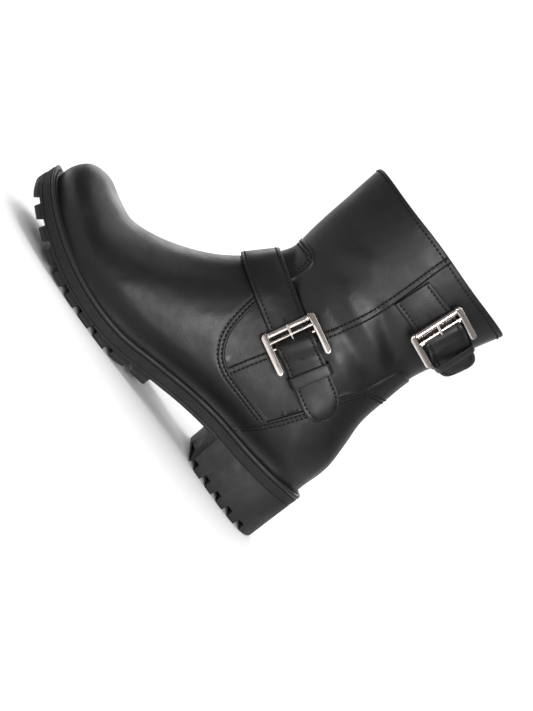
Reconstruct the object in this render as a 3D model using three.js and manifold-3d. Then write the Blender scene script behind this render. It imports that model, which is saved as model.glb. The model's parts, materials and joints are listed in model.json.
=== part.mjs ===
// Biker boot, left foot. Millimetres, +X to the toe, +Y to the outer side, +Z up.
// The upper and the sole follow short tables of sections whose columns are shares of the named sizes.
import * as THREE from 'three';
import { mergeVertices } from 'three/addons/utils/BufferGeometryUtils.js';
import Module from 'manifold-3d';

const wasm = await Module();
wasm.setup();

// Driving sizes
const soleLength = 278.5;
const ballWidth = 98;
const heelHeight = 44;
const foreSoleDepth = 15.4;
const toeSpring = 24;
const upperHeight = 175;
const wall = 2.2;
const gap = 0.3;

// Sole sizes
const weltThickness = 3.2;
const weltUpstand = 1.8;
const weltRingWidth = 15;
const weltInset = 1.2;
const weltRound = 0.8;
const weltBulge = 0.4;
const ledge = 5.4;
const bandDepth = 6;
const bandInset = 0.5;
const ribDepth = 0.7;
const ribCount = 3;
const waistSkin = 2.4;
const lugDepth = 4.6;
const lugPitch = 16.6;
const lugPitchLoss = 0.16;
const lugCount = 9;
const firstNotch = 0.506;
const notchWidth = 5;
const notchFlare = 1.4;
const lugLength = 19;
const lugEnd = 0.455;
const edgeRound = 1.5;
const channelWidth = 5;
const heelLength = 75;
const breastSlope = 5;
const breastSkew = 5;
const heelLugDepth = 5.4;
const heelLugLength = 15;
const heelEdgeRound = 1.6;
const heelLugPitch = 12.6;
const heelLugCount = 5;
const heelFlare = 1.4;
const insoleThickness = 2.6;
const insoleMargin = 4.6;
const insoleEase = 0.2;

// Upper sizes
const vampRise = 0.9;
const counterRise = 1.3;
const sideSeamRise = 0.6;
const sideSeamWidth = 4.4;
const zipSlit = 11;
const zipTapeThickness = 1;
const zipTapeSunk = 0.8;
const zipTeethWidth = 4.6;
const zipTeethThickness = 1.1;

// Strap and buckle sizes
const strapThickness = 2;
const billetThickness = 1.6;
const strapStandOff = 0.6;
const layerGap = 0.4;
const instepStrapWidth = 25.4;
const ankleStrapWidth = 26;
const billetNarrower = 2;
const keeperWidth = 8;
const keeperThickness = 1.3;
const buckleLength = 29;
const buckleSide = 4.4;
const buckleThickness = 2.6;
const buckleBevel = 0.5;
const buckleSlack = 1.8;
const rollerRadius = 1.9;
const rollerCore = 1;
const thinBarRadius = 0.7;
const hingeRadius = 1;
const prongRadius = 0.9;
const barToRoller = 5;
const barToHinge = 4.2;
const hingeDrop = 1.5;
const barOverlap = 1;
const keeperReach = 2;
const keeperPlay = 0.2;

// Zip slider and pull sizes
const sliderWidth = 8.4;
const sliderLength = 11;
const sliderThickness = 2.2;
const bridgeWidth = 1.6;
const bridgeWall = 1;
const pullBar = 1.2;
const pullWidth = 5.6;
const pullLength = 18;
const pullPlay = 0.45;
const sliderPlay = 0.3;
const fused = 0.5;

const radians = THREE.MathUtils.degToRad;
// A distance past every side of the boot
const far = soleLength / 3;

// Smooth curve through the rows of a table, read at a value of its first column.
function readRows(rows, value, column) {
  const last = rows.length - 1;
  const key = Math.min(Math.max(value, rows[0][0]), rows[last][0]);
  let i = 0;
  while (i < last - 1 && key > rows[i + 1][0]) i += 1;
  const [a, b] = [rows[i], rows[i + 1]];
  const before = rows[Math.max(i - 1, 0)];
  const after = rows[Math.min(i + 2, last)];
  const span = b[0] - a[0];
  const t = (key - a[0]) / span;
  const slopeA = ((b[column] - before[column]) / (b[0] - before[0])) * span;
  const slopeB = ((after[column] - a[column]) / (after[0] - a[0])) * span;
  const t2 = t * t;
  const t3 = t2 * t;
  return (2 * t3 - 3 * t2 + 1) * a[column] + (t3 - 2 * t2 + t) * slopeA
    + (3 * t2 - 2 * t3) * b[column] + (t3 - t2) * slopeB;
}

// Outline of the sole: station along the foot as a share of soleLength,
// outer and inner half widths as shares of half of ballWidth.
const outlineRows = [
  [0.000, 0.00, 0.00],
  [0.011, 0.29, -0.29],
  [0.040, 0.51, -0.51],
  [0.090, 0.645, -0.64],
  [0.165, 0.685, -0.665],
  [0.270, 0.675, -0.60],
  [0.377, 0.735, -0.56],
  [0.480, 0.855, -0.68],
  [0.570, 0.965, -0.84],
  [0.645, 1.020, -0.94],
  [0.720, 1.010, -0.98],
  [0.790, 0.945, -0.97],
  [0.862, 0.800, -0.91],
  [0.923, 0.600, -0.79],
  [0.966, 0.360, -0.61],
  [0.991, 0.080, -0.38],
  [1.000, -0.14, -0.14],
];

// Heights of the sole: station, then the welt's rise towards the toe as a share of toeSpring
// and towards the heel as a share of heelHeight less foreSoleDepth,
// then the same two shares for the tips of the lugs.
const heightRows = [
  [0.000, 0.000, 1.000, 0.000, 0.60],
  [0.043, 0.000, 0.990, 0.000, 0.58],
  [0.110, 0.000, 0.880, 0.000, 0.54],
  [0.180, 0.000, 0.784, 0.000, 0.50],
  [0.287, 0.000, 0.675, 0.000, 0.44],
  [0.359, 0.000, 0.555, 0.000, 0.36],
  [0.431, 0.000, 0.392, 0.000, 0.28],
  [0.503, 0.000, 0.215, 0.000, 0.158],
  [0.539, 0.000, 0.120, 0.000, 0.062],
  [0.580, 0.000, 0.042, 0.000, 0.000],
  [0.646, 0.000, 0.000, 0.000, 0.000],
  [0.718, 0.037, 0.000, 0.018, 0.000],
  [0.790, 0.153, 0.000, 0.115, 0.000],
  [0.862, 0.345, 0.000, 0.335, 0.000],
  [0.923, 0.580, 0.000, 0.540, 0.000],
  [0.966, 0.790, 0.000, 0.720, 0.000],
  [1.000, 1.000, 0.000, 0.900, 0.000],
];

const rearRise = heelHeight - foreSoleDepth;
function weltTop(x) {
  const s = x / soleLength;
  return foreSoleDepth + toeSpring * readRows(heightRows, s, 1) + rearRise * readRows(heightRows, s, 2);
}
function lugTip(x) {
  const s = x / soleLength;
  return Math.max(toeSpring * readRows(heightRows, s, 3) + rearRise * readRows(heightRows, s, 4), 0);
}
const weltUnder = (x) => weltTop(x) - weltThickness;
const bandTop = (x) => weltUnder(x) - gap;
const bandUnder = (x) => bandTop(x) - bandDepth;
const seat = (x) => weltTop(x) + weltUpstand;

// The outline as one closed curve, first along the outer side, then back along the inner side.
const halfBall = ballWidth / 2;
const outlinePoints = outlineRows.map((r) => new THREE.Vector2(r[0] * soleLength, r[1] * halfBall));
for (let i = outlineRows.length - 2; i > 0; i -= 1) {
  outlinePoints.push(new THREE.Vector2(outlineRows[i][0] * soleLength, outlineRows[i][2] * halfBall));
}
const outlineCurve = new THREE.CatmullRomCurve3(
  outlinePoints.map((p) => new THREE.Vector3(p.x, p.y, 0)), true, 'centripetal');

// Loop of the outline moved inward by an inset, with the same number of points at every inset.
function outlineLoop(inset, count) {
  const loop = [];
  for (let i = 0; i < count; i += 1) {
    const t = i / count;
    const p = outlineCurve.getPointAt(t);
    const d = outlineCurve.getTangentAt(t);
    loop.push(new THREE.Vector2(p.x + d.y * inset, p.y - d.x * inset));
  }
  return loop;
}

// Half width of the outline at a station, on the outer (+1) or inner (-1) side.
const edgeLoops = new Map();
function outlineEdge(x, side, inset) {
  if (!edgeLoops.has(inset)) edgeLoops.set(inset, outlineLoop(inset, 240));
  const loop = edgeLoops.get(inset);
  let best = 0;
  for (let i = 0; i < loop.length; i += 1) {
    const a = loop[i];
    const b = loop[(i + 1) % loop.length];
    if ((a.x - x) * (b.x - x) > 0 || a.x === b.x) continue;
    const y = a.y + ((b.y - a.y) * (x - a.x)) / (b.x - a.x);
    if (side * y > side * best || best === 0) best = y;
  }
  return best;
}

// Closed mesh from loops of equal length, with its two ends closed by the given caps.
function meshFromLoops(loops, endFaces) {
  const n = loops[0].length;
  const positions = [];
  loops.forEach((loop) => loop.forEach((p) => positions.push(p.x, p.y, p.z)));
  const faces = [];
  for (let k = 0; k < loops.length - 1; k += 1) {
    for (let i = 0; i < n; i += 1) {
      const j = (i + 1) % n;
      const [a, b] = [k * n + i, k * n + j];
      faces.push(a, b, b + n, a, b + n, a + n);
    }
  }
  endFaces(n).forEach(([a, b, c]) => {
    faces.push(c, b, a);
    const top = (loops.length - 1) * n;
    faces.push(top + a, top + b, top + c);
  });
  const geometry = new THREE.BufferGeometry();
  geometry.setAttribute('position', new THREE.Float32BufferAttribute(positions, 3));
  geometry.setIndex(faces);
  return geometry;
}

// Faces across a loop that starts at one tip and pairs its sides towards the other tip.
function stripFaces(n) {
  const faces = [[0, 1, n - 1]];
  for (let i = 1; i < n / 2 - 1; i += 1) {
    faces.push([i, i + 1, n - i - 1], [i, n - i - 1, n - i]);
  }
  faces.push([n / 2 - 1, n / 2, n / 2 + 1]);
  return faces;
}

function solidFrom(geometry) {
  const bare = geometry.clone();
  bare.deleteAttribute('normal');
  bare.deleteAttribute('uv');
  const merged = mergeVertices(bare, 1e-4);
  const vertProperties = new Float32Array(merged.attributes.position.array);
  const triVerts = new Uint32Array(merged.index.array);
  const solid = new wasm.Manifold(new wasm.Mesh({ numProp: 3, vertProperties, triVerts }));
  if (solid.volume() > 0) return solid;
  return new wasm.Manifold(new wasm.Mesh({ numProp: 3, vertProperties, triVerts: triVerts.reverse() }));
}

function geometryFrom(solid) {
  const mesh = solid.getMesh();
  const geometry = new THREE.BufferGeometry();
  geometry.setAttribute('position', new THREE.BufferAttribute(mesh.vertProperties, 3));
  geometry.setIndex(new THREE.BufferAttribute(mesh.triVerts, 1));
  return geometry;
}

// The largest body of a solid, without slivers
function mainBody(solid) {
  return solid.decompose().reduce((a, b) => (a.volume() > b.volume() ? a : b));
}

// Layer of the sole: rows of inset and height function, from below upwards.
const soleSteps = 40;
function soleLayer(rows) {
  const loops = rows.map(([inset, height]) => outlineLoop(inset, soleSteps)
    .map((p) => new THREE.Vector3(p.x, p.y, height(p.x))));
  return solidFrom(meshFromLoops(loops.map((l) => l.reverse()), stripFaces));
}

// Prism through the boot: an outline seen from the side, as [x, z] pairs, from y0 to y1.
function sidePrism(outline, y0, y1) {
  const shape = new THREE.Shape(outline.map(([x, z]) => new THREE.Vector2(x, z)));
  const geometry = new THREE.ExtrudeGeometry(shape, { depth: y1 - y0, bevelEnabled: false });
  geometry.rotateX(Math.PI / 2);
  geometry.translate(0, y1, 0);
  return solidFrom(geometry);
}

// Sections of the upper from the toe to the collar. The front end of a section is on the ridge,
// its back end is under the sole or on the heel. Columns: number of the section; front station and
// rise; back station and rise (stations are shares of soleLength, rises are shares of upperHeight
// above the seat at that station); outer and inner half widths and shift of the middle
// (shares of half of ballWidth); share of the section's length where it is widest;
// roundness of its front and back halves.
const formRows = [
  [0, 0.962, -0.040, 0.850, -0.085, 0.62, 0.62, -0.12, 0.52, 2.2, 2.2],
  [1, 0.9675, 0.004, 0.835, -0.085, 0.66, 0.68, -0.12, 0.50, 2.2, 2.4],
  [2, 0.9690, 0.042, 0.825, -0.085, 0.70, 0.74, -0.115, 0.46, 2.2, 2.6],
  [3, 0.9610, 0.094, 0.822, -0.083, 0.74, 0.77, -0.11, 0.42, 2.2, 2.8],
  [4, 0.9420, 0.141, 0.822, -0.080, 0.77, 0.79, -0.10, 0.38, 2.3, 3.0],
  [5, 0.9000, 0.182, 0.822, -0.075, 0.80, 0.82, -0.08, 0.35, 2.4, 3.2],
  [6, 0.8450, 0.191, 0.808, -0.070, 0.84, 0.85, -0.06, 0.33, 2.4, 3.4],
  [7, 0.7900, 0.206, 0.775, -0.068, 0.90, 0.88, -0.03, 0.33, 2.2, 3.6],
  [8, 0.7275, 0.260, 0.720, -0.065, 0.935, 0.89, 0.0, 0.33, 2.0, 3.6],
  [9, 0.6580, 0.340, 0.650, -0.062, 0.935, 0.86, 0.01, 0.33, 1.95, 3.4],
  [10, 0.5990, 0.424, 0.570, -0.060, 0.89, 0.78, 0.01, 0.33, 1.95, 3.0],
  [11, 0.5595, 0.499, 0.470, -0.060, 0.83, 0.69, 0.01, 0.34, 2.0, 2.7],
  [12, 0.5310, 0.566, 0.350, -0.062, 0.78, 0.65, 0.01, 0.36, 2.1, 2.5],
  [13, 0.5175, 0.614, 0.220, -0.065, 0.765, 0.66, 0.01, 0.38, 2.1, 2.3],
  [14, 0.5120, 0.643, 0.105, -0.066, 0.76, 0.69, 0.01, 0.40, 2.1, 2.2],
  [15, 0.5115, 0.663, 0.034, -0.050, 0.765, 0.72, 0.01, 0.42, 2.1, 2.15],
  [16, 0.5135, 0.680, 0.0280, 0.040, 0.78, 0.745, 0.01, 0.44, 2.1, 2.15],
  [17, 0.5165, 0.694, 0.0310, 0.140, 0.79, 0.765, 0.01, 0.46, 2.1, 2.15],
  [18, 0.5190, 0.712, 0.0530, 0.250, 0.80, 0.78, 0.01, 0.47, 2.1, 2.15],
  [19, 0.5220, 0.740, 0.0770, 0.360, 0.805, 0.79, 0.01, 0.48, 2.15, 2.15],
  [20, 0.5268, 0.790, 0.0870, 0.490, 0.815, 0.80, 0.005, 0.50, 2.2, 2.1],
  [21, 0.5322, 0.860, 0.0920, 0.620, 0.84, 0.83, 0.0, 0.52, 2.25, 2.05],
  [22, 0.5380, 0.950, 0.0790, 0.750, 0.88, 0.87, 0.0, 0.54, 2.25, 2.0],
  [23, 0.5447, 1.040, 0.0650, 0.880, 0.92, 0.91, 0.0, 0.54, 2.25, 2.0],
  [24, 0.5500, 1.125, 0.0475, 1.010, 0.95, 0.94, 0.0, 0.54, 2.25, 2.0],
];
const formLast = formRows.length - 1;

const blendAbove = 16;
const blendBelow = 8;
const upperInset = weltInset + ledge;
const rising = (a, b, v) => THREE.MathUtils.smoothstep(v, a, b);

// Point of the upper's outer surface: u from the toe (0) to the collar (1), turn around the section.
function formPoint(u, turn) {
  const row = (column) => readRows(formRows, u * formLast, column);
  const [fx, bx] = [row(1) * soleLength, row(3) * soleLength];
  const fz = seat(fx) + row(2) * upperHeight;
  const bz = seat(bx) + row(4) * upperHeight;
  const [c, s] = [Math.cos(turn), Math.sin(turn)];
  const power = s > 0 ? row(9) : row(10);
  const reach = (Math.abs(c) ** power + Math.abs(s) ** power) ** (-1 / power);
  const widest = row(8);
  const share = widest + reach * s * (s > 0 ? 1 - widest : widest);
  const x = bx + (fx - bx) * share;
  const z = bz + (fz - bz) * share;
  const side = c > 0 ? 1 : -1;
  let y = row(7) * halfBall + reach * c * halfBall * (c > 0 ? row(5) : row(6));
  // Near the welt the sides follow the sole's outline less the ledge.
  const rise = z - seat(x);
  const near = (1 - rising(0, blendAbove, rise)) * rising(-blendBelow, -1, rise)
    * rising(0.05, 0.4, Math.abs(c));
  const edge = outlineEdge(x, side, upperInset);
  if (near > 0 && side * edge > 2) y += (edge - y) * near;
  return new THREE.Vector3(x, y, z);
}

function formNormal(u, turn) {
  const e = 1e-3;
  const du = formPoint(Math.min(u + e, 1), turn).sub(formPoint(Math.max(u - e, 0), turn));
  const dt = formPoint(u, turn + e).sub(formPoint(u, turn - e));
  return du.cross(dt).normalize();
}

// Closed solid of the upper's form, moved outward by an offset.
function formSolid(offset, along, around) {
  const loops = [];
  for (let k = 0; k <= along; k += 1) {
    const u = k / along;
    const loop = [];
    for (let i = 0; i < around; i += 1) {
      const turn = Math.PI / 2 + (2 * Math.PI * i) / around;
      loop.push(formPoint(u, turn).addScaledVector(formNormal(u, turn), offset));
    }
    loops.push(loop);
  }
  return solidFrom(meshFromLoops(loops, stripFaces));
}

const upperAlong = 34;
const upperAround = 28;
const innerForm = formSolid(-wall, upperAlong - 8, upperAround - 8);

// Levels above the seat at a station, as used by every line drawn on the upper's side.
const at = (station, rise) => [station * soleLength, seat(station * soleLength) + rise * upperHeight];
const draw = (rows) => rows.map(([station, rise]) => at(station, rise));

// Seams seen from the side: station and rise above the seat, as in the form's table.
const outerArc = draw([
  [0.222, 0.116], [0.300, 0.125], [0.365, 0.142], [0.405, 0.180], [0.437, 0.255], [0.455, 0.370],
  [0.458, 0.480], [0.452, 0.590], [0.455, 0.640], [0.466, 0.672], [0.484, 0.690], [0.515, 0.697],
]);
const innerArc = draw([
  [0.200, 0.095], [0.290, 0.100], [0.345, 0.130], [0.385, 0.185], [0.405, 0.270], [0.415, 0.400],
  [0.420, 0.530], [0.420, 0.620], [0.432, 0.660], [0.455, 0.684], [0.484, 0.694], [0.515, 0.697],
]);
const frontFar = [[0.60, 0.697], [1.1, 0.5], [1.1, -0.3], [0.10, -0.3], [0.10, 0.095]];
const outerCounterEdge = draw([
  [0.300, -0.10], [0.252, 0.0], [0.222, 0.105], [0.199, 0.210], [0.182, 0.300], [0.165, 0.400],
  [0.147, 0.470], [0.139, 0.560], [0.130, 0.605],
]);
const innerCounterEdge = draw([
  [0.270, -0.10], [0.215, 0.0], [0.165, 0.085], [0.145, 0.200], [0.122, 0.335], [0.098, 0.470],
  [0.090, 0.540], [0.088, 0.590],
]);
const heelFar = [[0.080, 0.612], [-0.1, 0.612], [-0.1, -0.3], [0.30, -0.3]];
// Strip of even width along a line seen from the side.
function stripAlong(line, width) {
  const half = width / 2;
  const [left, right] = [[], []];
  line.forEach(([x, z], i) => {
    const [px, pz] = line[Math.max(i - 1, 0)];
    const [nx, nz] = line[Math.min(i + 1, line.length - 1)];
    const length = Math.hypot(nx - px, nz - pz);
    const [dx, dz] = [(-(nz - pz) / length) * half, ((nx - px) / length) * half];
    left.push([x + dx, z + dz]);
    right.unshift([x - dx, z - dz]);
  });
  return left.concat(right);
}
const sideSeamLine = draw([
  [0.372, 0.105], [0.352, 0.240], [0.325, 0.400], [0.303, 0.520], [0.293, 0.610], [0.287, 0.690],
  [0.287, 0.760], [0.289, 0.860], [0.292, 0.950], [0.293, 1.080],
]);
const zipLine = draw([
  [0.266, 0.115], [0.262, 0.225], [0.255, 0.350], [0.247, 0.470], [0.231, 0.630],
  [0.222, 0.780], [0.2205, 0.880], [0.218, 1.000], [0.216, 1.100],
]);

// The form with its raised vamp, counter and side seam, all grown by an offset.
function dressedForm(offset) {
  const grown = (area, line, y0, y1) => (offset > 0
    ? area.add(sidePrism(stripAlong(line, 2 * offset), y0, y1)) : area);
  const vampArea = grown(sidePrism(outerArc.concat(draw(frontFar)), 0, far), outerArc, 0, far)
    .add(grown(sidePrism(innerArc.concat(draw(frontFar)), -far, 0), innerArc, -far, 0));
  const outerCounter = sidePrism(outerCounterEdge.concat(draw(heelFar)), 0, far);
  const counterArea = grown(outerCounter, outerCounterEdge, 0, far)
    .add(grown(sidePrism(innerCounterEdge.concat(draw(heelFar)), -far, 0), innerCounterEdge, -far, 0));
  const seamArea = sidePrism(stripAlong(sideSeamLine, sideSeamWidth + 2 * offset), 0, far);
  const grownForm = (rise) => formSolid(rise + offset, upperAlong, upperAround);
  return grownForm(0)
    .add(grownForm(vampRise).intersect(vampArea))
    .add(grownForm(counterRise).intersect(counterArea))
    .add(grownForm(sideSeamRise).intersect(seamArea).subtract(vampArea));
}

// The collar dips at the front; the sole's top closes the upper underneath.
const collarCut = sidePrism(draw([[-0.1, 0.985], [0.05, 0.985], [0.20, 1.000], [0.33, 1.020],
  [0.45, 1.055], [0.548, 1.104], [0.70, 1.15], [0.70, 1.6], [-0.1, 1.6]]), -far, far);
const underline = [];
for (let i = -2; i <= 42; i += 1) {
  const x = (soleLength * i) / 40;
  underline.push([x, seat(x) + gap]);
}
const soleCut = sidePrism([[-soleLength, -far], [2 * soleLength, -far], ...underline.reverse()], -far, far);

// The zip's strips reach from the inner side to just short of the boot's middle.
const innerEnd = -5;
const zipSlot = sidePrism(stripAlong(zipLine, zipSlit), -far, innerEnd);
const outerForm = dressedForm(0);
const upper = outerForm
  .subtract(innerForm)
  .subtract(collarCut)
  .subtract(soleCut)
  .subtract(zipSlot);

// Zip in the slit
const tapeArea = sidePrism(stripAlong(zipLine.slice(0, -1), zipSlit - 2 * gap), -far, innerEnd);
const zipTape = formSolid(-zipTapeSunk, upperAlong, upperAround)
  .subtract(formSolid(-zipTapeSunk - zipTapeThickness, upperAlong, upperAround))
  .intersect(tapeArea)
  .subtract(collarCut);

// Sole, from the welt down
const ringInset = weltInset + weltRingWidth;
const welt = soleLayer([
  [weltInset, weltUnder],
  [weltInset - weltBulge, (x) => weltUnder(x) + weltRound],
  [weltInset - weltBulge, (x) => weltTop(x) - weltRound],
  [weltInset + 0.5, weltTop],
  [upperInset - 1.2, weltTop],
  [upperInset - 0.4, seat],
]).subtract(soleLayer([[ringInset, (x) => weltUnder(x) - 5], [ringInset, (x) => seat(x) + 5]]));

const ribRows = [[bandInset, bandUnder]];
for (let i = 0; i < ribCount; i += 1) {
  const share = (v) => (x) => bandUnder(x) + bandDepth * v;
  const middle = (i + 0.6) / ribCount;
  ribRows.push([bandInset, share(middle - 0.09)], [bandInset + ribDepth, share(middle)],
    [bandInset, share(middle + 0.09)]);
}
ribRows.push([bandInset, bandTop]);
const plateauInset = ringInset + gap;
const midsole = soleLayer(ribRows)
  .add(soleLayer([[plateauInset, (x) => bandTop(x) - 2], [plateauInset, (x) => seat(x) - gap]]));

// The lug floor lies one lug's depth above the tips; behind the lugs the waist is a thin skin.
const outsoleTop = (x) => bandUnder(x) - gap;
const waistUnder = (x) => outsoleTop(x) - waistSkin;
const lugBack = soleLength * lugEnd;
const waistBack = heelLength * 0.8;
const outsoleBody = soleLayer([[0.9, lugTip], [0, (x) => lugTip(x) + edgeRound], [0.3, outsoleTop]]);
const waistStations = [];
for (let i = 0; i <= 12; i += 1) waistStations.push(waistBack + ((lugBack - waistBack) * i) / 12);
const waistCut = sidePrism([...waistStations.map((x) => [x, waistUnder(x)]), [lugBack - 1.5, -far],
  [waistBack, -far]], -far, far);

// Notch across the sole: an upside-down trapezoid that opens downwards.
function notch(x, tip, depth, width, slope, y0, y1) {
  const half = width / 2;
  const mouth = half + notchFlare;
  const outline = [[-half, depth], [half, depth], [mouth, -far / 8], [-mouth, -far / 8]];
  const turned = outline.map(([a, b]) => [x + a * Math.cos(slope) - b * Math.sin(slope),
    tip + a * Math.sin(slope) + b * Math.cos(slope)]);
  return sidePrism(turned, y0, y1);
}
let lugCuts = soleLayer([[lugLength, (x) => lugTip(x) - far / 8], [lugLength, (x) => lugTip(x) + lugDepth]])
  .subtract(soleLayer([[lugLength + channelWidth, (x) => lugTip(x) - far / 4],
    [lugLength + channelWidth, (x) => lugTip(x) + 2 * lugDepth]]));
for (let i = 0; i < lugCount; i += 1) {
  const x = firstNotch * soleLength + lugPitch * i - lugPitchLoss * i * i;
  const slope = Math.atan2(lugTip(x + 4) - lugTip(x - 4), 8);
  lugCuts = lugCuts.add(notch(x, lugTip(x), lugDepth, notchWidth, slope, -far, far));
}
const lugZone = sidePrism([[lugBack, -far], [2 * soleLength, -far], [2 * soleLength, far],
  [lugBack, far]], -far, far);
// Everything ahead of the heel's breast, which slopes and lies further forward on the inner side
function aheadOfBreast(shift) {
  const box = new THREE.BoxGeometry(2 * soleLength, 2 * far, 2 * far);
  const corners = box.attributes.position;
  for (let i = 0; i < corners.count; i += 1) {
    const [x, y, z] = [corners.getX(i), corners.getY(i), corners.getZ(i)];
    const slant = breastSlope * (1 - z / heelHeight) + (breastSkew * y) / halfBall;
    corners.setX(i, x < 0 ? heelLength - slant + shift : 2 * soleLength);
  }
  return solidFrom(box);
}
const outsole = outsoleBody.subtract(waistCut).intersect(aheadOfBreast(gap))
  .subtract(lugCuts.intersect(lugZone));
const heelBody = soleLayer([[heelEdgeRound - heelFlare, () => 0], [-heelFlare, () => heelEdgeRound],
  [0.4, outsoleTop]]);
let heelCuts = soleLayer([[heelLugLength, () => -far], [heelLugLength, () => heelLugDepth]])
  .subtract(soleLayer([[heelLugLength + channelWidth, () => -2 * far],
    [heelLugLength + channelWidth, () => 2 * heelLugDepth]]));
for (let i = 0; i < heelLugCount; i += 1) {
  const x = heelLength - heelLugPitch * (i + 0.85);
  heelCuts = heelCuts.add(notch(x, 0, heelLugDepth, notchWidth, 0, -far, far));
}
const heel = heelBody.subtract(aheadOfBreast(0)).subtract(heelCuts);

const insoleInset = upperInset + wall + insoleMargin;
const insoleUnder = (x) => seat(x) + gap + insoleEase;
const insole = soleLayer([[insoleInset, insoleUnder],
  [insoleInset, (x) => insoleUnder(x) + insoleThickness]]);

// Straps are laid round the boot by rays from an axis inside it to the upper's surface.
const surface = new THREE.Mesh(
  geometryFrom(outerForm),
  new THREE.MeshBasicMaterial({ side: THREE.DoubleSide }),
);
const caster = new THREE.Raycaster();
function hitFrom(origin, direction) {
  caster.set(origin, direction);
  return caster.intersectObject(surface)[0];
}

// A belt plane: its middle inside the boot and its tilt, in degrees, up towards the toe.
function beltPlane(station, rise, tilt) {
  const [x, z] = at(station, rise);
  const a = radians(tilt);
  return {
    middle: new THREE.Vector3(x, 0, z),
    forward: new THREE.Vector3(Math.cos(a), 0, Math.sin(a)),
    across: new THREE.Vector3(-Math.sin(a), 0, Math.cos(a)),
  };
}
function beltRay(plane, turn, shift) {
  const origin = plane.middle.clone().addScaledVector(plane.across, shift);
  const direction = plane.forward.clone().multiplyScalar(Math.cos(radians(turn)));
  direction.y += Math.sin(radians(turn));
  return { origin, direction, distance: hitFrom(origin, direction).distance };
}
const beltPoint = (plane, turn, shift, standOff) => {
  const ray = beltRay(plane, turn, shift);
  return ray.origin.addScaledVector(ray.direction, ray.distance + standOff);
};

// Value between rows of a table, straight from row to row, or with an even ease.
function straightRows(rows, value, column, share = THREE.MathUtils.inverseLerp) {
  let i = 0;
  while (i < rows.length - 2 && value > rows[i + 1][0]) i += 1;
  const [a, b] = [rows[i], rows[i + 1]];
  return a[column] + (b[column] - a[column]) * share(a[0], b[0], value);
}
const easeRows = (rows, value, column) => straightRows(rows, value, column, rising);

const turnStep = 7.5;
// Strap along a belt plane. Rows: turn in degrees, shift across as a share of the width, stand-off.
// A round tip closes the end when tipTurn, in degrees, is over zero.
function layStrap(plane, rows, width, thickness, tipTurn) {
  const first = rows[0][0];
  const last = rows[rows.length - 1][0];
  const plain = last - Math.sign(last - first) * tipTurn;
  const count = Math.ceil(Math.abs(plain - first) / turnStep);
  const turns = rows.map((r) => r[0]).filter((t) => (t - first) * (plain - t) > 0);
  turns.push(first, plain);
  for (let i = 1; i < count; i += 1) {
    const turn = first + ((plain - first) * i) / count;
    if (turns.every((t) => Math.abs(t - turn) > turnStep / 8)) turns.push(turn);
  }
  turns.sort((a, b) => (a - b) * Math.sign(last - first));
  const stations = turns.map((t) => [t, 1]);
  if (tipTurn > 0) {
    [20, 40, 60, 78].map(radians).forEach((a) => {
      stations.push([plain + (last - plain) * Math.sin(a), Math.cos(a)]);
    });
  }
  const parts = [-0.5, -0.25, 0, 0.25, 0.5];
  const reach = stations.map(([turn]) => {
    const shift = straightRows(rows, turn, 1) * width;
    const hits = parts.map((q) => beltRay(plane, turn, shift + q * width).distance);
    const low = hits.map((h, i) => h - hits[0] - (hits[4] - hits[0]) * (parts[i] + 0.5));
    const lift = Math.max(...low, 0);
    return [hits[0] + lift, hits[4] + lift];
  });
  const smoothReach = (i, k) => {
    const reachAt = (n) => reach[Math.min(Math.max(n, 0), reach.length - 1)][k];
    const near = (j) => Math.max(reachAt(j - 1), reachAt(j), reachAt(j + 1));
    return (near(Math.max(i - 1, 0)) + near(i) + near(Math.min(i + 1, reach.length - 1))) / 3;
  };
  const loops = stations.map(([turn, share], i) => {
    const shift = straightRows(rows, turn, 1) * width;
    const standOff = easeRows(rows, turn, 2);
    const [low, high] = [smoothReach(i, 0), smoothReach(i, 1)];
    const direction = plane.forward.clone().multiplyScalar(Math.cos(radians(turn)));
    direction.y += Math.sin(radians(turn));
    const corner = (q, extra) => plane.middle.clone()
      .addScaledVector(plane.across, shift + q * width * share)
      .addScaledVector(direction, low + (high - low) * (0.5 + q * share) + standOff + extra);
    return [corner(-0.5, 0), corner(0.5, 0), corner(0.5, thickness), corner(-0.5, thickness)];
  });
  return solidFrom(meshFromLoops(loops, () => [[0, 1, 2], [0, 2, 3]]));
}

// Local axes of a buckle: x from its front bar to its arm ends, y across the strap, z outwards.
function localAxes(origin, towards, across) {
  const x = towards.clone().sub(origin).normalize();
  const z = x.clone().cross(across).normalize();
  if (z.y * origin.y < 0) z.negate();
  return new THREE.Matrix4().makeBasis(x, z.clone().cross(x), z).setPosition(origin);
}
const placed = (geometry, axes) => solidFrom(geometry.applyMatrix4(axes));
function rod(radius, from, to, sides) {
  const length = from.distanceTo(to);
  const geometry = new THREE.CylinderGeometry(radius, radius, length, sides);
  const direction = to.clone().sub(from).normalize();
  const turned = new THREE.Quaternion().setFromUnitVectors(new THREE.Vector3(0, 1, 0), direction);
  geometry.applyQuaternion(turned);
  geometry.translate((from.x + to.x) / 2, (from.y + to.y) / 2, (from.z + to.z) / 2);
  return geometry;
}
const point = (x, y, z) => new THREE.Vector3(x, y, z);

// The strap runs under the roller and the thin bar, over the hinge bar, and the prong comes up
// through its hole. Levels are measured from the chord under the buckle.
const rollerX = 0.5 + rollerRadius;
const thinBarX = rollerX + barToRoller;
const hingeX = thinBarX + barToHinge;
const hingeLevel = -hingeDrop;
const foldRadius = hingeRadius + gap + 0.8;

// Lowest and highest level of a solid, in a buckle's own axes, over a stretch of the strap.
function levels(solid, axes, x0, x1, halfWidth) {
  const stretch = solidFrom(new THREE.BoxGeometry(x1 - x0, 2 * halfWidth, far)
    .translate((x0 + x1) / 2, 0, 0).applyMatrix4(axes));
  const geometry = geometryFrom(solid.intersect(stretch)).applyMatrix4(axes.clone().invert());
  geometry.computeBoundingBox();
  return [geometry.boundingBox.min.z, geometry.boundingBox.max.z];
}
const topLevel = (...stretch) => levels(...stretch)[1];

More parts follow.
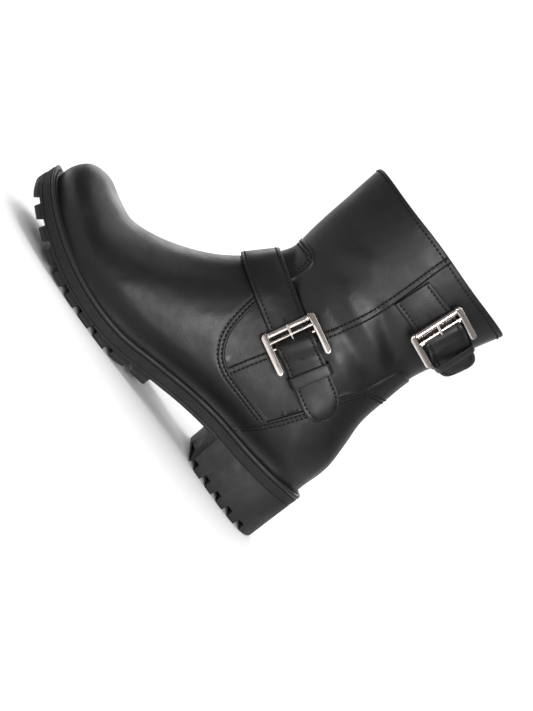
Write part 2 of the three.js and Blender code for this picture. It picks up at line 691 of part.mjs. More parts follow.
// Prong from its eye on the hinge bar, over the thin bar, to its tip on the roller.
function prongSolid(axes, radius, level, thinLevel) {
  const line = [[hingeX - 0.4, level + hingeLevel + hingeRadius + gap + prongRadius / 2],
    [hingeX - 1.6, level + thinLevel], [thinBarX, level + thinLevel + thinBarRadius + prongRadius + 0.2],
    [rollerX, level + rollerRadius + prongRadius + gap],
    [rollerX - 1.8, level + rollerRadius + prongRadius + 0.1]];
  const section = new THREE.Shape();
  section.absarc(0, 0, radius, 0, 2 * Math.PI);
  const path = new THREE.CatmullRomCurve3(line.map(([x, z]) => point(x, 0, z)));
  const shaft = new THREE.ExtrudeGeometry(section, { steps: 9, curveSegments: 3, extrudePath: path });
  const eye = rod(hingeRadius + gap + radius, point(hingeX, -radius, level + hingeLevel),
    point(hingeX, radius, level + hingeLevel), 10);
  return placed(shaft, axes).add(placed(eye, axes));
}

// The whole set at one crossing: strap, billet, keeper and buckle.
function buckledStrap(plane, spec) {
  const { width, roller, arms, keeper, shiftRows, billetShift } = spec;
  const shiftAt = (turn) => straightRows(shiftRows, turn, 1);
  const foot = (turn) => beltPoint(plane, turn, shiftAt(turn) * width, 0);
  const start = foot(roller);
  const along = foot(arms).sub(start).normalize();
  const axes = localAxes(start.clone().addScaledVector(along, -rollerX), foot(arms), plane.across);
  const inward = axes.clone().invert();
  // Turn at which the leather's middle line passes a distance along the buckle.
  const turnAt = (x) => {
    let [low, high] = [roller - 20, arms + 20];
    for (let i = 0; i < 30; i += 1) {
      const mid = (low + high) / 2;
      if (foot(mid).applyMatrix4(inward).x < x) low = mid; else high = mid;
    }
    return (low + high) / 2;
  };
  // Rows of turn and stand-off, joined with the rows of the shift across.
  const joined = (list, shift) => {
    const turns = list.concat(shiftRows).map((r) => r[0])
      .filter((t) => t >= list[0][0] && t <= list[list.length - 1][0]);
    return [...new Set(turns)].sort((a, b) => a - b).map((t) => [t, shift(t), easeRows(list, t, 1)]);
  };
  const billetWidth = width - billetNarrower;
  const lay = (list, grown) => layStrap(plane, joined(list, shiftAt), width + 2 * grown,
    strapThickness + 2 * grown, spec.tipTurn);
  const layBillet = (list, grown) => {
    const rows = joined(list, billetShift).map(([t, q, h]) => [t, q, h - grown]);
    return layStrap(plane, rows, billetWidth + 2 * grown, billetThickness + 2 * grown, 0);
  };

  const flatStrap = lay([[spec.start, 0], [spec.end, 0]], 0);
  const flatBillet = layBillet([[roller, 0], [spec.billetEnd, 0]], 0);
  const frameLevel = strapStandOff + gap + rollerRadius
    + topLevel(flatStrap, axes, 0, rollerX + rollerRadius, width);
  const hinge = frameLevel + hingeLevel;
  const strapAtHinge = levels(flatStrap, axes, hingeX - 1, hingeX + 1, strapThickness)[0];
  const billetAtHinge = topLevel(flatBillet, axes, hingeX - 1, hingeX + 1, 1) - billetThickness / 2;
  const overHinge = hinge + foldRadius + gap - strapAtHinge;
  const overBillet = strapStandOff + billetThickness + layerGap;
  const strapSolid = lay([
    [spec.start, strapStandOff], [turnAt(thinBarX - 2), strapStandOff],
    [turnAt(hingeX - 1), overHinge], [turnAt(hingeX + 1.5), overHinge],
    [turnAt(hingeX + 12), overBillet], [spec.keeper + 4, overBillet], [spec.end, overBillet + spec.tipLift],
  ], 0);
  const underBar = [thinBarX - thinBarRadius, thinBarX + thinBarRadius];
  const thinLevel = topLevel(strapSolid, axes, ...underBar, width) + gap + thinBarRadius - frameLevel;

  const atHinge = hinge - billetAtHinge;
  const billetRows = [[turnAt(hingeX - 1.5), atHinge], [turnAt(hingeX + 2.5), atHinge],
    [turnAt(hingeX + 9), strapStandOff], [spec.billetEnd, strapStandOff]];
  const billetSolid = (grown) => layBillet(billetRows, grown)
    .add(placed(rod(foldRadius + grown, point(hingeX, -billetWidth / 2 - grown, hinge),
      point(hingeX, billetWidth / 2 + grown, hinge), 10), axes));
  const hingeRod = (radius) => placed(rod(radius, point(hingeX, -width / 2 - 2, hinge),
    point(hingeX, width / 2 + 2, hinge), 8), axes);
  const eyeRoom = placed(new THREE.BoxGeometry(2 * foldRadius + 4, 2 * (prongRadius + gap), 4 * foldRadius)
    .translate(hingeX, 0, hinge), axes);
  const billet = mainBody(billetSolid(0).subtract(eyeRoom).subtract(hingeRod(hingeRadius + gap))
    .subtract(clearForm));
  const strap = mainBody(strapSolid.subtract(prongSolid(axes, prongRadius + gap, frameLevel, thinLevel))
    .subtract(billetSolid(gap)).subtract(hingeRod(hingeRadius + gap)).subtract(clearForm));
  const prong = prongSolid(axes, prongRadius, frameLevel, thinLevel).subtract(hingeRod(hingeRadius + gap));

  const inner = width / 2 + buckleSlack;
  const h = inner + buckleSide;
  const tip = buckleSide / 2;
  const corner = buckleSide * 0.7;
  const arm = (side) => {
    const outline = new THREE.Shape();
    outline.moveTo(0, inner);
    outline.lineTo(0, h - corner);
    outline.absarc(corner, h - corner, corner, Math.PI, Math.PI / 2, true);
    outline.absarc(buckleLength - tip, h - tip, tip, Math.PI / 2, -Math.PI / 2, true);
    const plate = new THREE.ExtrudeGeometry(outline, {
      depth: buckleThickness - 2 * buckleBevel, bevelEnabled: true, bevelSize: buckleBevel,
      bevelThickness: buckleBevel, bevelOffset: -buckleBevel, bevelSegments: 1, curveSegments: 4,
    }).translate(0, 0, frameLevel - buckleThickness / 2 + buckleBevel);
    return placed(side > 0 ? plate : plate.applyMatrix4(new THREE.Matrix4().makeScale(1, -1, 1)), axes);
  };
  const barEnd = inner + barOverlap;
  const bar = (x, radius, level, sides) => placed(rod(radius, point(x, -barEnd, frameLevel + level),
    point(x, barEnd, frameLevel + level), sides), axes);
  const frame = arm(1).add(arm(-1)).add(bar(rollerX, rollerCore, 0, 8))
    .add(bar(thinBarX, thinBarRadius, thinLevel, 6)).add(bar(hingeX, hingeRadius, hingeLevel, 8));
  const sleeve = [[rollerCore + gap, -inner + gap], [rollerRadius, -inner + gap],
    [rollerRadius, inner - gap], [rollerCore + gap, inner - gap], [rollerCore + gap, -inner + gap]];
  const rollerSleeve = placed(new THREE.LatheGeometry(sleeve.map(([x, y]) => new THREE.Vector2(x, y)), 10)
    .translate(rollerX, 0, frameLevel), axes);

  const keeperAxes = localAxes(foot(keeper), foot(keeper + 6), plane.across);
  const top = gap + topLevel(strap, keeperAxes, -keeperWidth / 2, keeperWidth / 2, width);
  const loopSide = width / 2 + gap + keeperPlay;
  const outerSide = loopSide + keeperThickness;
  const roof = top + keeperThickness;
  const loop = new THREE.Shape([[-outerSide, -keeperReach], [-outerSide, roof], [outerSide, roof],
    [outerSide, -keeperReach], [loopSide, -keeperReach], [loopSide, top],
    [-loopSide, top], [-loopSide, -keeperReach]].map(([a, b]) => new THREE.Vector2(a, b)));
  const loopGeometry = new THREE.ExtrudeGeometry(loop, { depth: keeperWidth, bevelEnabled: false });
  loopGeometry.applyMatrix4(new THREE.Matrix4().makeBasis(point(0, 1, 0), point(0, 0, 1), point(1, 0, 0)));
  loopGeometry.translate(-keeperWidth / 2, 0, 0);
  const keeperLoop = mainBody(placed(loopGeometry, keeperAxes).subtract(clearForm));
  return { strap, billet, keeper: keeperLoop, frame, roller: rollerSleeve, prong };
}
const clearForm = dressedForm(gap);

// Inner side: the instep strap ends at the zip's front edge, the ankle billet at its rear edge.
const zipMargin = 2.2;
const zipEdges = stripAlong(zipLine, zipSlit + 2 * zipMargin);
const half = zipLine.length;
const behindZip = sidePrism([...zipEdges.slice(half).reverse(),
  [-far, 2 * soleLength], [-far, -far]], -far, 0);
const aheadOfZip = sidePrism([...zipEdges.slice(0, half),
  [2 * soleLength, 2 * soleLength], [2 * soleLength, -far]], -far, 0);

const instepPlane = beltPlane(0.359, 0.385, 14);
const instep = buckledStrap(instepPlane, {
  width: instepStrapWidth, start: -132, roller: 84, arms: 116,
  keeper: 127, end: 147, tipTurn: 12, tipLift: 0, billetEnd: 141, billetShift: () => 0.24,
  shiftRows: [[-132, -0.14], [-70, 0.02], [0, 0.12], [84, 0.14], [120, 0.22], [151, 0.28]],
});
const anklePlane = beltPlane(0.302, 0.83, 0);
const ankle = buckledStrap(anklePlane, {
  width: ankleStrapWidth, start: 99, roller: 126, arms: 155,
  keeper: 158, end: 175, tipTurn: 10, tipLift: 6, billetEnd: 236,
  billetShift: (t) => 0.05 - 0.23 * rising(150, 200, t),
  shiftRows: [[99, 0.02], [126, 0.08], [140, 0.08], [173, -0.02]],
});

// Teeth, slider and pull of the zip
const teethBase = formSolid(-zipTapeSunk + gap, upperAlong, upperAround);
const teethTop = formSolid(-zipTapeSunk + gap + zipTeethThickness, upperAlong, upperAround);
const teethLine = zipLine.slice(0, -1);
const zipTeeth = teethTop.subtract(teethBase)
  .intersect(sidePrism(stripAlong(teethLine, zipTeethWidth), -far, innerEnd)).subtract(collarCut);

const [sliderLineX, sliderLineZ] = at(0.2195, 0.945);
const zipHit = (z, dx) => hitFrom(point(sliderLineX + dx, 0, z), point(0, -1, 0)).point;
const sliderSeat = zipHit(sliderLineZ, 0);
const zipUp = zipHit(sliderLineZ + 8, 0).sub(zipHit(sliderLineZ - 8, 0)).normalize();
const zipAcross = zipHit(sliderLineZ, 5).sub(zipHit(sliderLineZ, -5)).normalize();
const zipOut = zipAcross.clone().cross(zipUp).normalize();
const zipSide = zipUp.clone().cross(zipOut);
const zipAxes = new THREE.Matrix4().makeBasis(zipSide, zipUp, zipOut).setPosition(sliderSeat);
const zipBox = (x, y, z, cx, cy, cz) => placed(
  new THREE.BoxGeometry(x, y, z).translate(cx, cy, cz),
  zipAxes,
);
const sliderUnder = -zipTapeSunk + gap + zipTeethThickness + gap + sliderPlay;
const sliderTop = sliderUnder + sliderThickness;
const bridgeRoom = pullBar + 2 * pullPlay;
const bridgeTop = sliderTop + bridgeRoom + bridgeWall;
const bridgeSpan = bridgeRoom + 2 * bridgeWall;
const sliderPlate = new THREE.Shape([[-0.5, 0.5], [0.5, 0.5], [0.36, -0.5], [-0.36, -0.5]]
  .map(([x, y]) => new THREE.Vector2(x * sliderWidth, y * sliderLength)));
const sliderBody = new THREE.ExtrudeGeometry(sliderPlate, { depth: sliderThickness, bevelEnabled: false })
  .translate(0, 0, sliderUnder);
const bridgeFoot = sliderTop - fused;
const slider = placed(sliderBody, zipAxes)
  .add(zipBox(bridgeWidth, bridgeSpan, bridgeTop - bridgeFoot, 0, 0, (bridgeFoot + bridgeTop) / 2))
  .subtract(zipBox(2 * bridgeWidth, bridgeRoom, bridgeRoom, 0, 0, sliderTop + bridgeRoom / 2));

const pullLevel = sliderTop + bridgeRoom / 2;
const windowHalf = bridgeWidth / 2 + pullPlay;
const windowLength = bridgeSpan;
const pullOutline = new THREE.Shape([[-0.5, 0], [0.5, 0], [0.5, -0.8], [0.32, -1],
  [-0.32, -1], [-0.5, -0.8]]
  .map(([x, y]) => new THREE.Vector2(x * pullWidth, pullBar / 2 + y * pullLength)));
const pullBody = new THREE.ExtrudeGeometry(pullOutline, { depth: pullBar, bevelEnabled: false })
  .translate(0, 0, pullLevel - pullBar / 2);
const windowMiddle = -(pullBar + windowLength) / 2;
const pull = placed(pullBody, zipAxes)
  .subtract(zipBox(2 * windowHalf, windowLength, 3 * pullBar, 0, windowMiddle, pullLevel));

// Scene graph
const leather = new THREE.MeshStandardMaterial({ color: 0x1c1c1e, roughness: 0.5, metalness: 0 });
const rubber = new THREE.MeshStandardMaterial({ color: 0x232325, roughness: 0.85, metalness: 0 });
const lining = new THREE.MeshStandardMaterial({ color: 0x3a3532, roughness: 0.9, metalness: 0 });
const zipCloth = new THREE.MeshStandardMaterial({ color: 0x151517, roughness: 0.9, metalness: 0 });
const nickel = new THREE.MeshStandardMaterial({ color: 0xb9b4ae, roughness: 0.25, metalness: 1 });

const boot = new THREE.Group();
function place(name, solid, material) {
  const mesh = new THREE.Mesh(geometryFrom(solid), material.clone());
  mesh.name = name;
  boot.add(mesh);
  return mesh;
}
place('upper', upper, leather);
place('insole', insole, lining);
place('welt', welt, rubber);
place('midsole', midsole, rubber);
place('outsole', outsole, rubber);
place('heel', heel, rubber);
place('zip_tape', zipTape, zipCloth);
place('zip_teeth', zipTeeth, zipCloth);
place('zip_slider', slider, nickel);
place('zip_pull', pull, zipCloth);
for (const [name, set] of [['instep', instep], ['ankle', ankle]]) {
  place(`${name}_strap`, name === 'instep' ? set.strap.subtract(behindZip) : set.strap, leather);
  place(`${name}_billet`, name === 'ankle' ? set.billet.subtract(aheadOfZip) : set.billet, leather);
  place(`${name}_keeper`, set.keeper, leather);
  place(`${name}_frame`, set.frame, nickel);
  place(`${name}_roller`, set.roller, nickel);
  place(`${name}_prong`, set.prong, nickel);
}

const size = new THREE.Box3().setFromObject(boot);
boot.position.set(-(size.min.x + size.max.x) / 2, -(size.min.y + size.max.y) / 2, -size.min.z);

export default boot;
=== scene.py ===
# %% [markdown]
# # Biker boot, left foot
# This notebook dresses a finished CAD boot. The CAD model says where every piece is; here each piece
# gets the soft shapes, seams, stitches and finishes that the real boot shows. All sizes in the tables
# are millimetres or shares of the boot's own sizes, and become metres when a mesh is made.

# %% Load the frame
import json
import math

import bpy
import numpy as np
from mathutils import Matrix, Vector
from mathutils.bvhtree import BVHTree
from mathutils.geometry import delaunay_2d_cdt
from mathutils.kdtree import KDTree

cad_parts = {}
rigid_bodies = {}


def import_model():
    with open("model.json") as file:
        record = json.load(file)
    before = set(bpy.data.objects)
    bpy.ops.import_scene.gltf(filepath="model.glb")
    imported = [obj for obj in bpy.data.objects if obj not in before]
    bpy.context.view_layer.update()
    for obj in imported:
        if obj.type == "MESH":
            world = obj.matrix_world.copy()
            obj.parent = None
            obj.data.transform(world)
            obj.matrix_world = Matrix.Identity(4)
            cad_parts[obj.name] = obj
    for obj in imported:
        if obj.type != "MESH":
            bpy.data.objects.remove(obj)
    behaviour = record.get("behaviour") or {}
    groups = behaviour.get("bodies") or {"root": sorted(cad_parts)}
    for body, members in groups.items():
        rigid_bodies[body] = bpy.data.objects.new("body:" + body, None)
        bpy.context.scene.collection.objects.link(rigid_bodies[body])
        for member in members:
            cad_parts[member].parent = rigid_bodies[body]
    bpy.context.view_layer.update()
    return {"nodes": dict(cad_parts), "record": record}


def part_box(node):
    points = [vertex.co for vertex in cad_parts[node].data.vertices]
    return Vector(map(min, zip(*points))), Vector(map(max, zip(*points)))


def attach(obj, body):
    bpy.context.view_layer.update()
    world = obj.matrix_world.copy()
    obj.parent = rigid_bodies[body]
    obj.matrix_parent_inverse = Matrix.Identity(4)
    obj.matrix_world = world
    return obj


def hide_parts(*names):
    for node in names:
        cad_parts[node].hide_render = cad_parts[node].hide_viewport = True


for leftover in list(bpy.data.objects):
    bpy.data.objects.remove(leftover)
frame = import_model()

# %% [markdown]
# ## The boot's named sizes
# A boot maker starts from a last: its length, the width across the ball, the heel's height and how far
# the toe springs off the ground. Everything below is a share of these, so the shapes stay in step.

# %% Driving sizes, mm
MM = 0.001
SOLE_LENGTH = 278.5
HALF_BALL = 49.0
HEEL_HEIGHT = 44.0
FORE_SOLE = 15.4
TOE_SPRING = 24.0
UPPER_HEIGHT = 175.0
WALL = 2.2
WELT_THICKNESS = 3.2
WELT_UPSTAND = 1.8
WELT_INSET = 1.2
LEDGE = 5.4
BAND_DEPTH = 6.0
GAP = 0.3
UPPER_INSET = WELT_INSET + LEDGE

# %% [markdown]
# ## Reading a table as a smooth curve
# A table holds a few sections; the shape between them is a smooth curve through the rows. The reader
# works on whole arrays at once, because a dense leather surface asks for a hundred thousand points.

# %% Smooth reader of tables
def read_rows(rows, value, column):
    """Smooth curve through the rows of a table, read at values of its first column."""
    table = np.asarray(rows, float)
    keys, column = table[:, 0], table[:, column]
    key = np.clip(np.asarray(value, float), keys[0], keys[-1])
    i = np.clip(np.searchsorted(keys, key, side="left") - 1, 0, len(keys) - 2)
    before, after = np.maximum(i - 1, 0), np.minimum(i + 2, len(keys) - 1)
    span = keys[i + 1] - keys[i]
    t = (key - keys[i]) / span
    slope_a = (column[i + 1] - column[before]) / (keys[i + 1] - keys[before]) * span
    slope_b = (column[after] - column[i]) / (keys[after] - keys[i]) * span
    return ((2 * t**3 - 3 * t**2 + 1) * column[i] + (t**3 - 2 * t**2 + t) * slope_a
            + (3 * t**2 - 2 * t**3) * column[i + 1] + (t**3 - t**2) * slope_b)


def ease(low, high, value):
    """0 below low, 1 above high, with a soft start and end."""
    t = np.clip((np.asarray(value, float) - low) / (high - low), 0, 1)
    return t * t * (3 - 2 * t)


def unit(vectors):
    """The same directions, with length one."""
    vectors = np.asarray(vectors, float)
    return vectors / np.linalg.norm(vectors, axis=-1, keepdims=True)


def run_along(points):
    """Distance run along a line, from its start to each of its points."""
    return np.concatenate([[0], np.cumsum(np.linalg.norm(np.diff(points, axis=0), axis=1))])


def at_run(columns, run, wanted):
    """Columns of a line, read at wanted distances along it."""
    return np.stack([np.interp(wanted, run, columns[:, k]) for k in range(columns.shape[1])], axis=-1)


def area_of(outline):
    """Area inside a closed outline, above 0 where it runs anticlockwise."""
    a, b = np.asarray(outline, float)[:, :2].T
    return 0.5 * np.sum(a * np.roll(b, -1) - np.roll(a, -1) * b)


# %% [markdown]
# ## The sole's outline
# Seen from above, the sole widens at the ball, narrows at the waist and rounds at the heel. It is one
# closed curve through a short table. A centripetal Catmull-Rom curve passes through every row without
# bulging between rows that lie close together, as they do at the toe.

# %% Outline of the sole
# station along the foot; half widths on the outer and inner side as shares of half the ball's width
outline_rows = [
    [0.000, 0.00, 0.00], [0.011, 0.29, -0.29], [0.040, 0.51, -0.51], [0.090, 0.645, -0.64],
    [0.165, 0.685, -0.665], [0.270, 0.675, -0.60], [0.377, 0.735, -0.56], [0.480, 0.855, -0.68],
    [0.570, 0.965, -0.84], [0.645, 1.020, -0.94], [0.720, 1.010, -0.98], [0.790, 0.945, -0.97],
    [0.862, 0.800, -0.91], [0.923, 0.600, -0.79], [0.966, 0.360, -0.61], [0.991, 0.080, -0.38],
    [1.000, -0.14, -0.14],
]


def closed_curve(points, steps):
    """Centripetal Catmull-Rom curve through a closed ring of points."""
    p = np.asarray(points, float)
    found = []
    for i in range(len(p)):
        a, b, c, d = p[i - 1], p[i], p[(i + 1) % len(p)], p[(i + 2) % len(p)]
        ab, bc, cd = (math.sqrt(np.linalg.norm(v - u)) for u, v in ((a, b), (b, c), (c, d)))
        tb = ((b - a) / ab - (c - a) / (ab + bc) + (c - b) / bc) * bc
        tc = ((c - b) / bc - (d - b) / (bc + cd) + (d - c) / cd) * bc
        t = np.arange(steps)[:, None] / steps
        found.append(b * (2 * t**3 - 3 * t**2 + 1) + tb * (t**3 - 2 * t**2 + t)
                     + c * (3 * t**2 - 2 * t**3) + tc * (t**3 - t**2))
    return np.concatenate(found)


def evenly(points, count, closed=True):
    """Points spread evenly along a line."""
    p = np.vstack([points, points[:1]]) if closed else np.asarray(points, float)
    run = run_along(p)
    wanted = np.linspace(0, run[-1], count + 1)[:-1] if closed else np.linspace(0, run[-1], count)
    return at_run(p, run, wanted)


ring = [(s * SOLE_LENGTH, outer * HALF_BALL) for s, outer, _ in outline_rows]
ring += [(s * SOLE_LENGTH, inner * HALF_BALL) for s, _, inner in reversed(outline_rows[1:-1])]
outline_dense = closed_curve(ring, 60)


def outline_loop(inset, count=240):
    """The outline moved inward by an inset."""
    p = evenly(outline_dense, count)
    tangent = unit(np.roll(p, -1, axis=0) - np.roll(p, 1, axis=0))
    return p + inset * np.stack([tangent[:, 1], -tangent[:, 0]], axis=1)


def outline_edge(x, side, inset=UPPER_INSET):
    """Half width of the outline at stations x in mm, on the outer (+1) or inner (-1) side."""
    loop = outline_loop(inset, 720)
    start, end = int(np.argmin(loop[:, 0])), int(np.argmax(loop[:, 0]))
    loop = np.roll(loop, -start, axis=0)
    end = (end - start) % len(loop)
    outer, inner = loop[:end + 1], np.vstack([loop[end:], loop[:1]])[::-1]
    y_outer = np.interp(x, outer[:, 0], outer[:, 1], left=0, right=0)
    y_inner = np.interp(x, inner[:, 0], inner[:, 1], left=0, right=0)
    return np.where(side > 0, y_outer, y_inner)


# %% [markdown]
# ## The frame of the tables
# The tables count millimetres from the back of the sole, and the frame has its origin under the middle
# of the boot. The shift between the two comes from the CAD heel and outsole, which have this same
# outline: the heel's back flares out past it by a known amount.

# %% Shift from the tables' millimetres to the frame
HEEL_FLARE = 1.4
outsole_low, outsole_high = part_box("outsole")
edge_zero = outline_loop(0, 720)
SHIFT = np.array([
    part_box("heel")[0].x / MM + HEEL_FLARE,
    (outsole_low.y + outsole_high.y) / 2 / MM - (edge_zero[:, 1].min() + edge_zero[:, 1].max()) / 2,
    0.0,
])
print("shift, mm:", SHIFT.round(2))

# %% [markdown]
# ## Heights of the sole
# Seen from the side, the sole falls from the heel seat to the ball and springs up at the toe. One table
# holds the welt's level and the level of the lugs' tips, and every layer between is measured from them.

# %% Heights of the sole
# station; welt's rise to the toe and to the heel; the same two shares for the tips of the lugs
height_rows = [
    [0.000, 0.000, 1.000, 0.000, 0.60], [0.043, 0.000, 0.990, 0.000, 0.58],
    [0.110, 0.000, 0.880, 0.000, 0.54], [0.180, 0.000, 0.784, 0.000, 0.50],
    [0.287, 0.000, 0.675, 0.000, 0.44], [0.359, 0.000, 0.555, 0.000, 0.36],
    [0.431, 0.000, 0.392, 0.000, 0.28], [0.503, 0.000, 0.215, 0.000, 0.158],
    [0.539, 0.000, 0.120, 0.000, 0.062], [0.580, 0.000, 0.042, 0.000, 0.000],
    [0.646, 0.000, 0.000, 0.000, 0.000], [0.718, 0.037, 0.000, 0.018, 0.000],
    [0.790, 0.153, 0.000, 0.115, 0.000], [0.862, 0.345, 0.000, 0.335, 0.000],
    [0.923, 0.580, 0.000, 0.540, 0.000], [0.966, 0.790, 0.000, 0.720, 0.000],
    [1.000, 1.000, 0.000, 0.900, 0.000],
]
REAR_RISE = HEEL_HEIGHT - FORE_SOLE


def welt_top(x):
    s = np.asarray(x, float) / SOLE_LENGTH
    return FORE_SOLE + TOE_SPRING * read_rows(height_rows, s, 1) + REAR_RISE * read_rows(height_rows, s, 2)


def lug_tip(x):
    s = np.asarray(x, float) / SOLE_LENGTH
    level = TOE_SPRING * read_rows(height_rows, s, 3) + REAR_RISE * read_rows(height_rows, s, 4)
    return np.maximum(level, 0)


def seat(x):
    return welt_top(x) + WELT_UPSTAND


def band_top(x):
    return welt_top(x) - WELT_THICKNESS - GAP


def band_under(x):
    return band_top(x) - BAND_DEPTH


# %% [markdown]
# ## The form of the upper
# Each section of the last runs from the ridge (or the shin) to the underside (or the heel), and is an
# oval with its own roundness at the front and at the back. `form_point` gives the leather's outer
# surface for any place along the boot (0 at the toe, 1 at the collar) and any turn round it.

# %% Sections of the upper
# number; front station and rise; back station and rise; outer and inner half widths; shift of the
# middle; share of the length where it is widest; roundness of the front and of the back
form_rows = [
    [0, 0.962, -0.040, 0.850, -0.085, 0.62, 0.62, -0.12, 0.52, 2.2, 2.2],
    [1, 0.9675, 0.004, 0.835, -0.085, 0.66, 0.68, -0.12, 0.50, 2.2, 2.4],
    [2, 0.9690, 0.042, 0.825, -0.085, 0.70, 0.74, -0.115, 0.46, 2.2, 2.6],
    [3, 0.9610, 0.094, 0.822, -0.083, 0.74, 0.77, -0.11, 0.42, 2.2, 2.8],
    [4, 0.9420, 0.141, 0.822, -0.080, 0.77, 0.79, -0.10, 0.38, 2.3, 3.0],
    [5, 0.9000, 0.182, 0.822, -0.075, 0.80, 0.82, -0.08, 0.35, 2.4, 3.2],
    [6, 0.8450, 0.191, 0.808, -0.070, 0.84, 0.85, -0.06, 0.33, 2.4, 3.4],
    [7, 0.7900, 0.206, 0.775, -0.068, 0.90, 0.88, -0.03, 0.33, 2.2, 3.6],
    [8, 0.7275, 0.260, 0.720, -0.065, 0.935, 0.89, 0.0, 0.33, 2.0, 3.6],
    [9, 0.6580, 0.340, 0.650, -0.062, 0.935, 0.86, 0.01, 0.33, 1.95, 3.4],
    [10, 0.5990, 0.424, 0.570, -0.060, 0.89, 0.78, 0.01, 0.33, 1.95, 3.0],
    [11, 0.5595, 0.499, 0.470, -0.060, 0.83, 0.69, 0.01, 0.34, 2.0, 2.7],
    [12, 0.5310, 0.566, 0.350, -0.062, 0.78, 0.65, 0.01, 0.36, 2.1, 2.5],
    [13, 0.5175, 0.614, 0.220, -0.065, 0.765, 0.66, 0.01, 0.38, 2.1, 2.3],
    [14, 0.5120, 0.643, 0.105, -0.066, 0.76, 0.69, 0.01, 0.40, 2.1, 2.2],
    [15, 0.5115, 0.663, 0.034, -0.050, 0.765, 0.72, 0.01, 0.42, 2.1, 2.15],
    [16, 0.5135, 0.680, 0.0280, 0.040, 0.78, 0.745, 0.01, 0.44, 2.1, 2.15],
    [17, 0.5165, 0.694, 0.0310, 0.140, 0.79, 0.765, 0.01, 0.46, 2.1, 2.15],
    [18, 0.5190, 0.712, 0.0530, 0.250, 0.80, 0.78, 0.01, 0.47, 2.1, 2.15],
    [19, 0.5220, 0.740, 0.0770, 0.360, 0.805, 0.79, 0.01, 0.48, 2.15, 2.15],
    [20, 0.5268, 0.790, 0.0870, 0.490, 0.815, 0.80, 0.005, 0.50, 2.2, 2.1],
    [21, 0.5322, 0.860, 0.0920, 0.620, 0.84, 0.83, 0.0, 0.52, 2.25, 2.05],
    [22, 0.5380, 0.950, 0.0790, 0.750, 0.88, 0.87, 0.0, 0.54, 2.25, 2.0],
    [23, 0.5447, 1.040, 0.0650, 0.880, 0.92, 0.91, 0.0, 0.54, 2.25, 2.0],
    [24, 0.5500, 1.125, 0.0475, 1.010, 0.95, 0.94, 0.0, 0.54, 2.25, 2.0],
]


def form_point(u, turn):
    """Points of the leather's outer surface, in the tables' millimetres."""
    u, turn = np.broadcast_arrays(np.asarray(u, float), np.asarray(turn, float))

    def row(column):
        return read_rows(form_rows, u * (len(form_rows) - 1), column)

    front_x, back_x = row(1) * SOLE_LENGTH, row(3) * SOLE_LENGTH
    front_z = seat(front_x) + row(2) * UPPER_HEIGHT
    back_z = seat(back_x) + row(4) * UPPER_HEIGHT
    c, s = np.cos(turn), np.sin(turn)
    power = np.where(s > 0, row(9), row(10))
    reach = (np.abs(c) ** power + np.abs(s) ** power) ** (-1 / power)
    widest = row(8)
    share = widest + reach * s * np.where(s > 0, 1 - widest, widest)
    x = back_x + (front_x - back_x) * share
    z = back_z + (front_z - back_z) * share
    y = row(7) * HALF_BALL + reach * c * HALF_BALL * np.where(c > 0, row(5), row(6))
    # Near the welt the sides follow the sole's outline less the ledge.
    rise = z - seat(x)
    near = (1 - ease(0, 16, rise)) * ease(-8, -1, rise) * ease(0.05, 0.4, np.abs(c))
    side = np.where(c > 0, 1, -1)
    edge = outline_edge(x, side)
    y = np.where(side * edge > 2, y + (edge - y) * near, y)
    return np.stack([x, y, z], axis=-1)


def form_frame(u, turn):
    """Point, outward normal and the two surface directions, per unit of u and of turn."""
    step = 1e-3
    along = (form_point(np.minimum(u + step, 1), turn) - form_point(np.maximum(u - step, 0), turn))
    along /= (np.minimum(u + step, 1) - np.maximum(u - step, 0))[..., None]
    around = (form_point(u, turn + step) - form_point(u, turn - step)) / (2 * step)
    return form_point(u, turn), unit(np.cross(along, around)), along, around


sample = form_point(np.linspace(0, 1, 200)[:, None], np.linspace(0, 2 * math.pi, 160)[None, :])
print("form, mm:", np.ptp(sample.reshape(-1, 3), axis=0).round(1))

# %% [markdown]
# ## Seams as lines on the leather
# A pattern cutter draws the seams on the flat side view of the last. Each line here is drawn the same
# way, as stations and rises, and then moved onto the form: a nearest-point search finds the place on
# the surface that shows at that spot from the side, and a few Newton steps make it exact.

# %% Draw a line on the side of the form
def at(rows):
    """Stations and rises of a side view as x and z in mm."""
    rows = np.asarray(rows, float)
    x = rows[:, 0] * SOLE_LENGTH
    return np.stack([x, seat(x) + rows[:, 1] * UPPER_HEIGHT], axis=1)


FRONT, BACK = math.pi / 2, -math.pi / 2
scan_u, scan_turn = np.meshgrid(np.linspace(0, 1, 420), np.linspace(BACK, BACK + 2 * math.pi, 360),
                                indexing="ij")
scan_points = form_point(scan_u, scan_turn)
scan_trees = {}
for side in (1, -1):
    chosen = np.flatnonzero(side * np.cos(scan_turn).ravel() > -1e-6)
    tree = KDTree(len(chosen))
    for k in chosen:
        x, _, z = scan_points.reshape(-1, 3)[k]
        tree.insert((x, 0, z), int(k))
    tree.balance()
    scan_trees[side] = tree


def onto_form(line, side):
    """Places (u, turn) on one side of the form that show at the x, z of a side view."""
    start = [scan_trees[side].find((x, 0, z))[1] for x, z in line]
    u, turn = scan_u.ravel()[start].copy(), scan_turn.ravel()[start].copy()
    for _ in range(4):
        point, _, along, around = form_frame(u, turn)
        miss = line - point[:, [0, 2]]
        a, b, c, d = along[:, 0], around[:, 0], along[:, 2], around[:, 2]
        det = a * d - b * c
        safe = np.abs(det) > 400
        det = np.where(safe, det, 1)
        du = np.where(safe, (miss[:, 0] * d - miss[:, 1] * b) / det, 0)
        dt = np.where(safe, (a * miss[:, 1] - c * miss[:, 0]) / det, 0)
        u = np.clip(u + np.clip(du, -0.02, 0.02), 0, 1)
        turn = turn + np.clip(dt, -0.1, 0.1)
    left = np.linalg.norm(form_point(u, turn)[:, [0, 2]] - line, axis=1)
    return np.stack([u, turn], axis=1), left


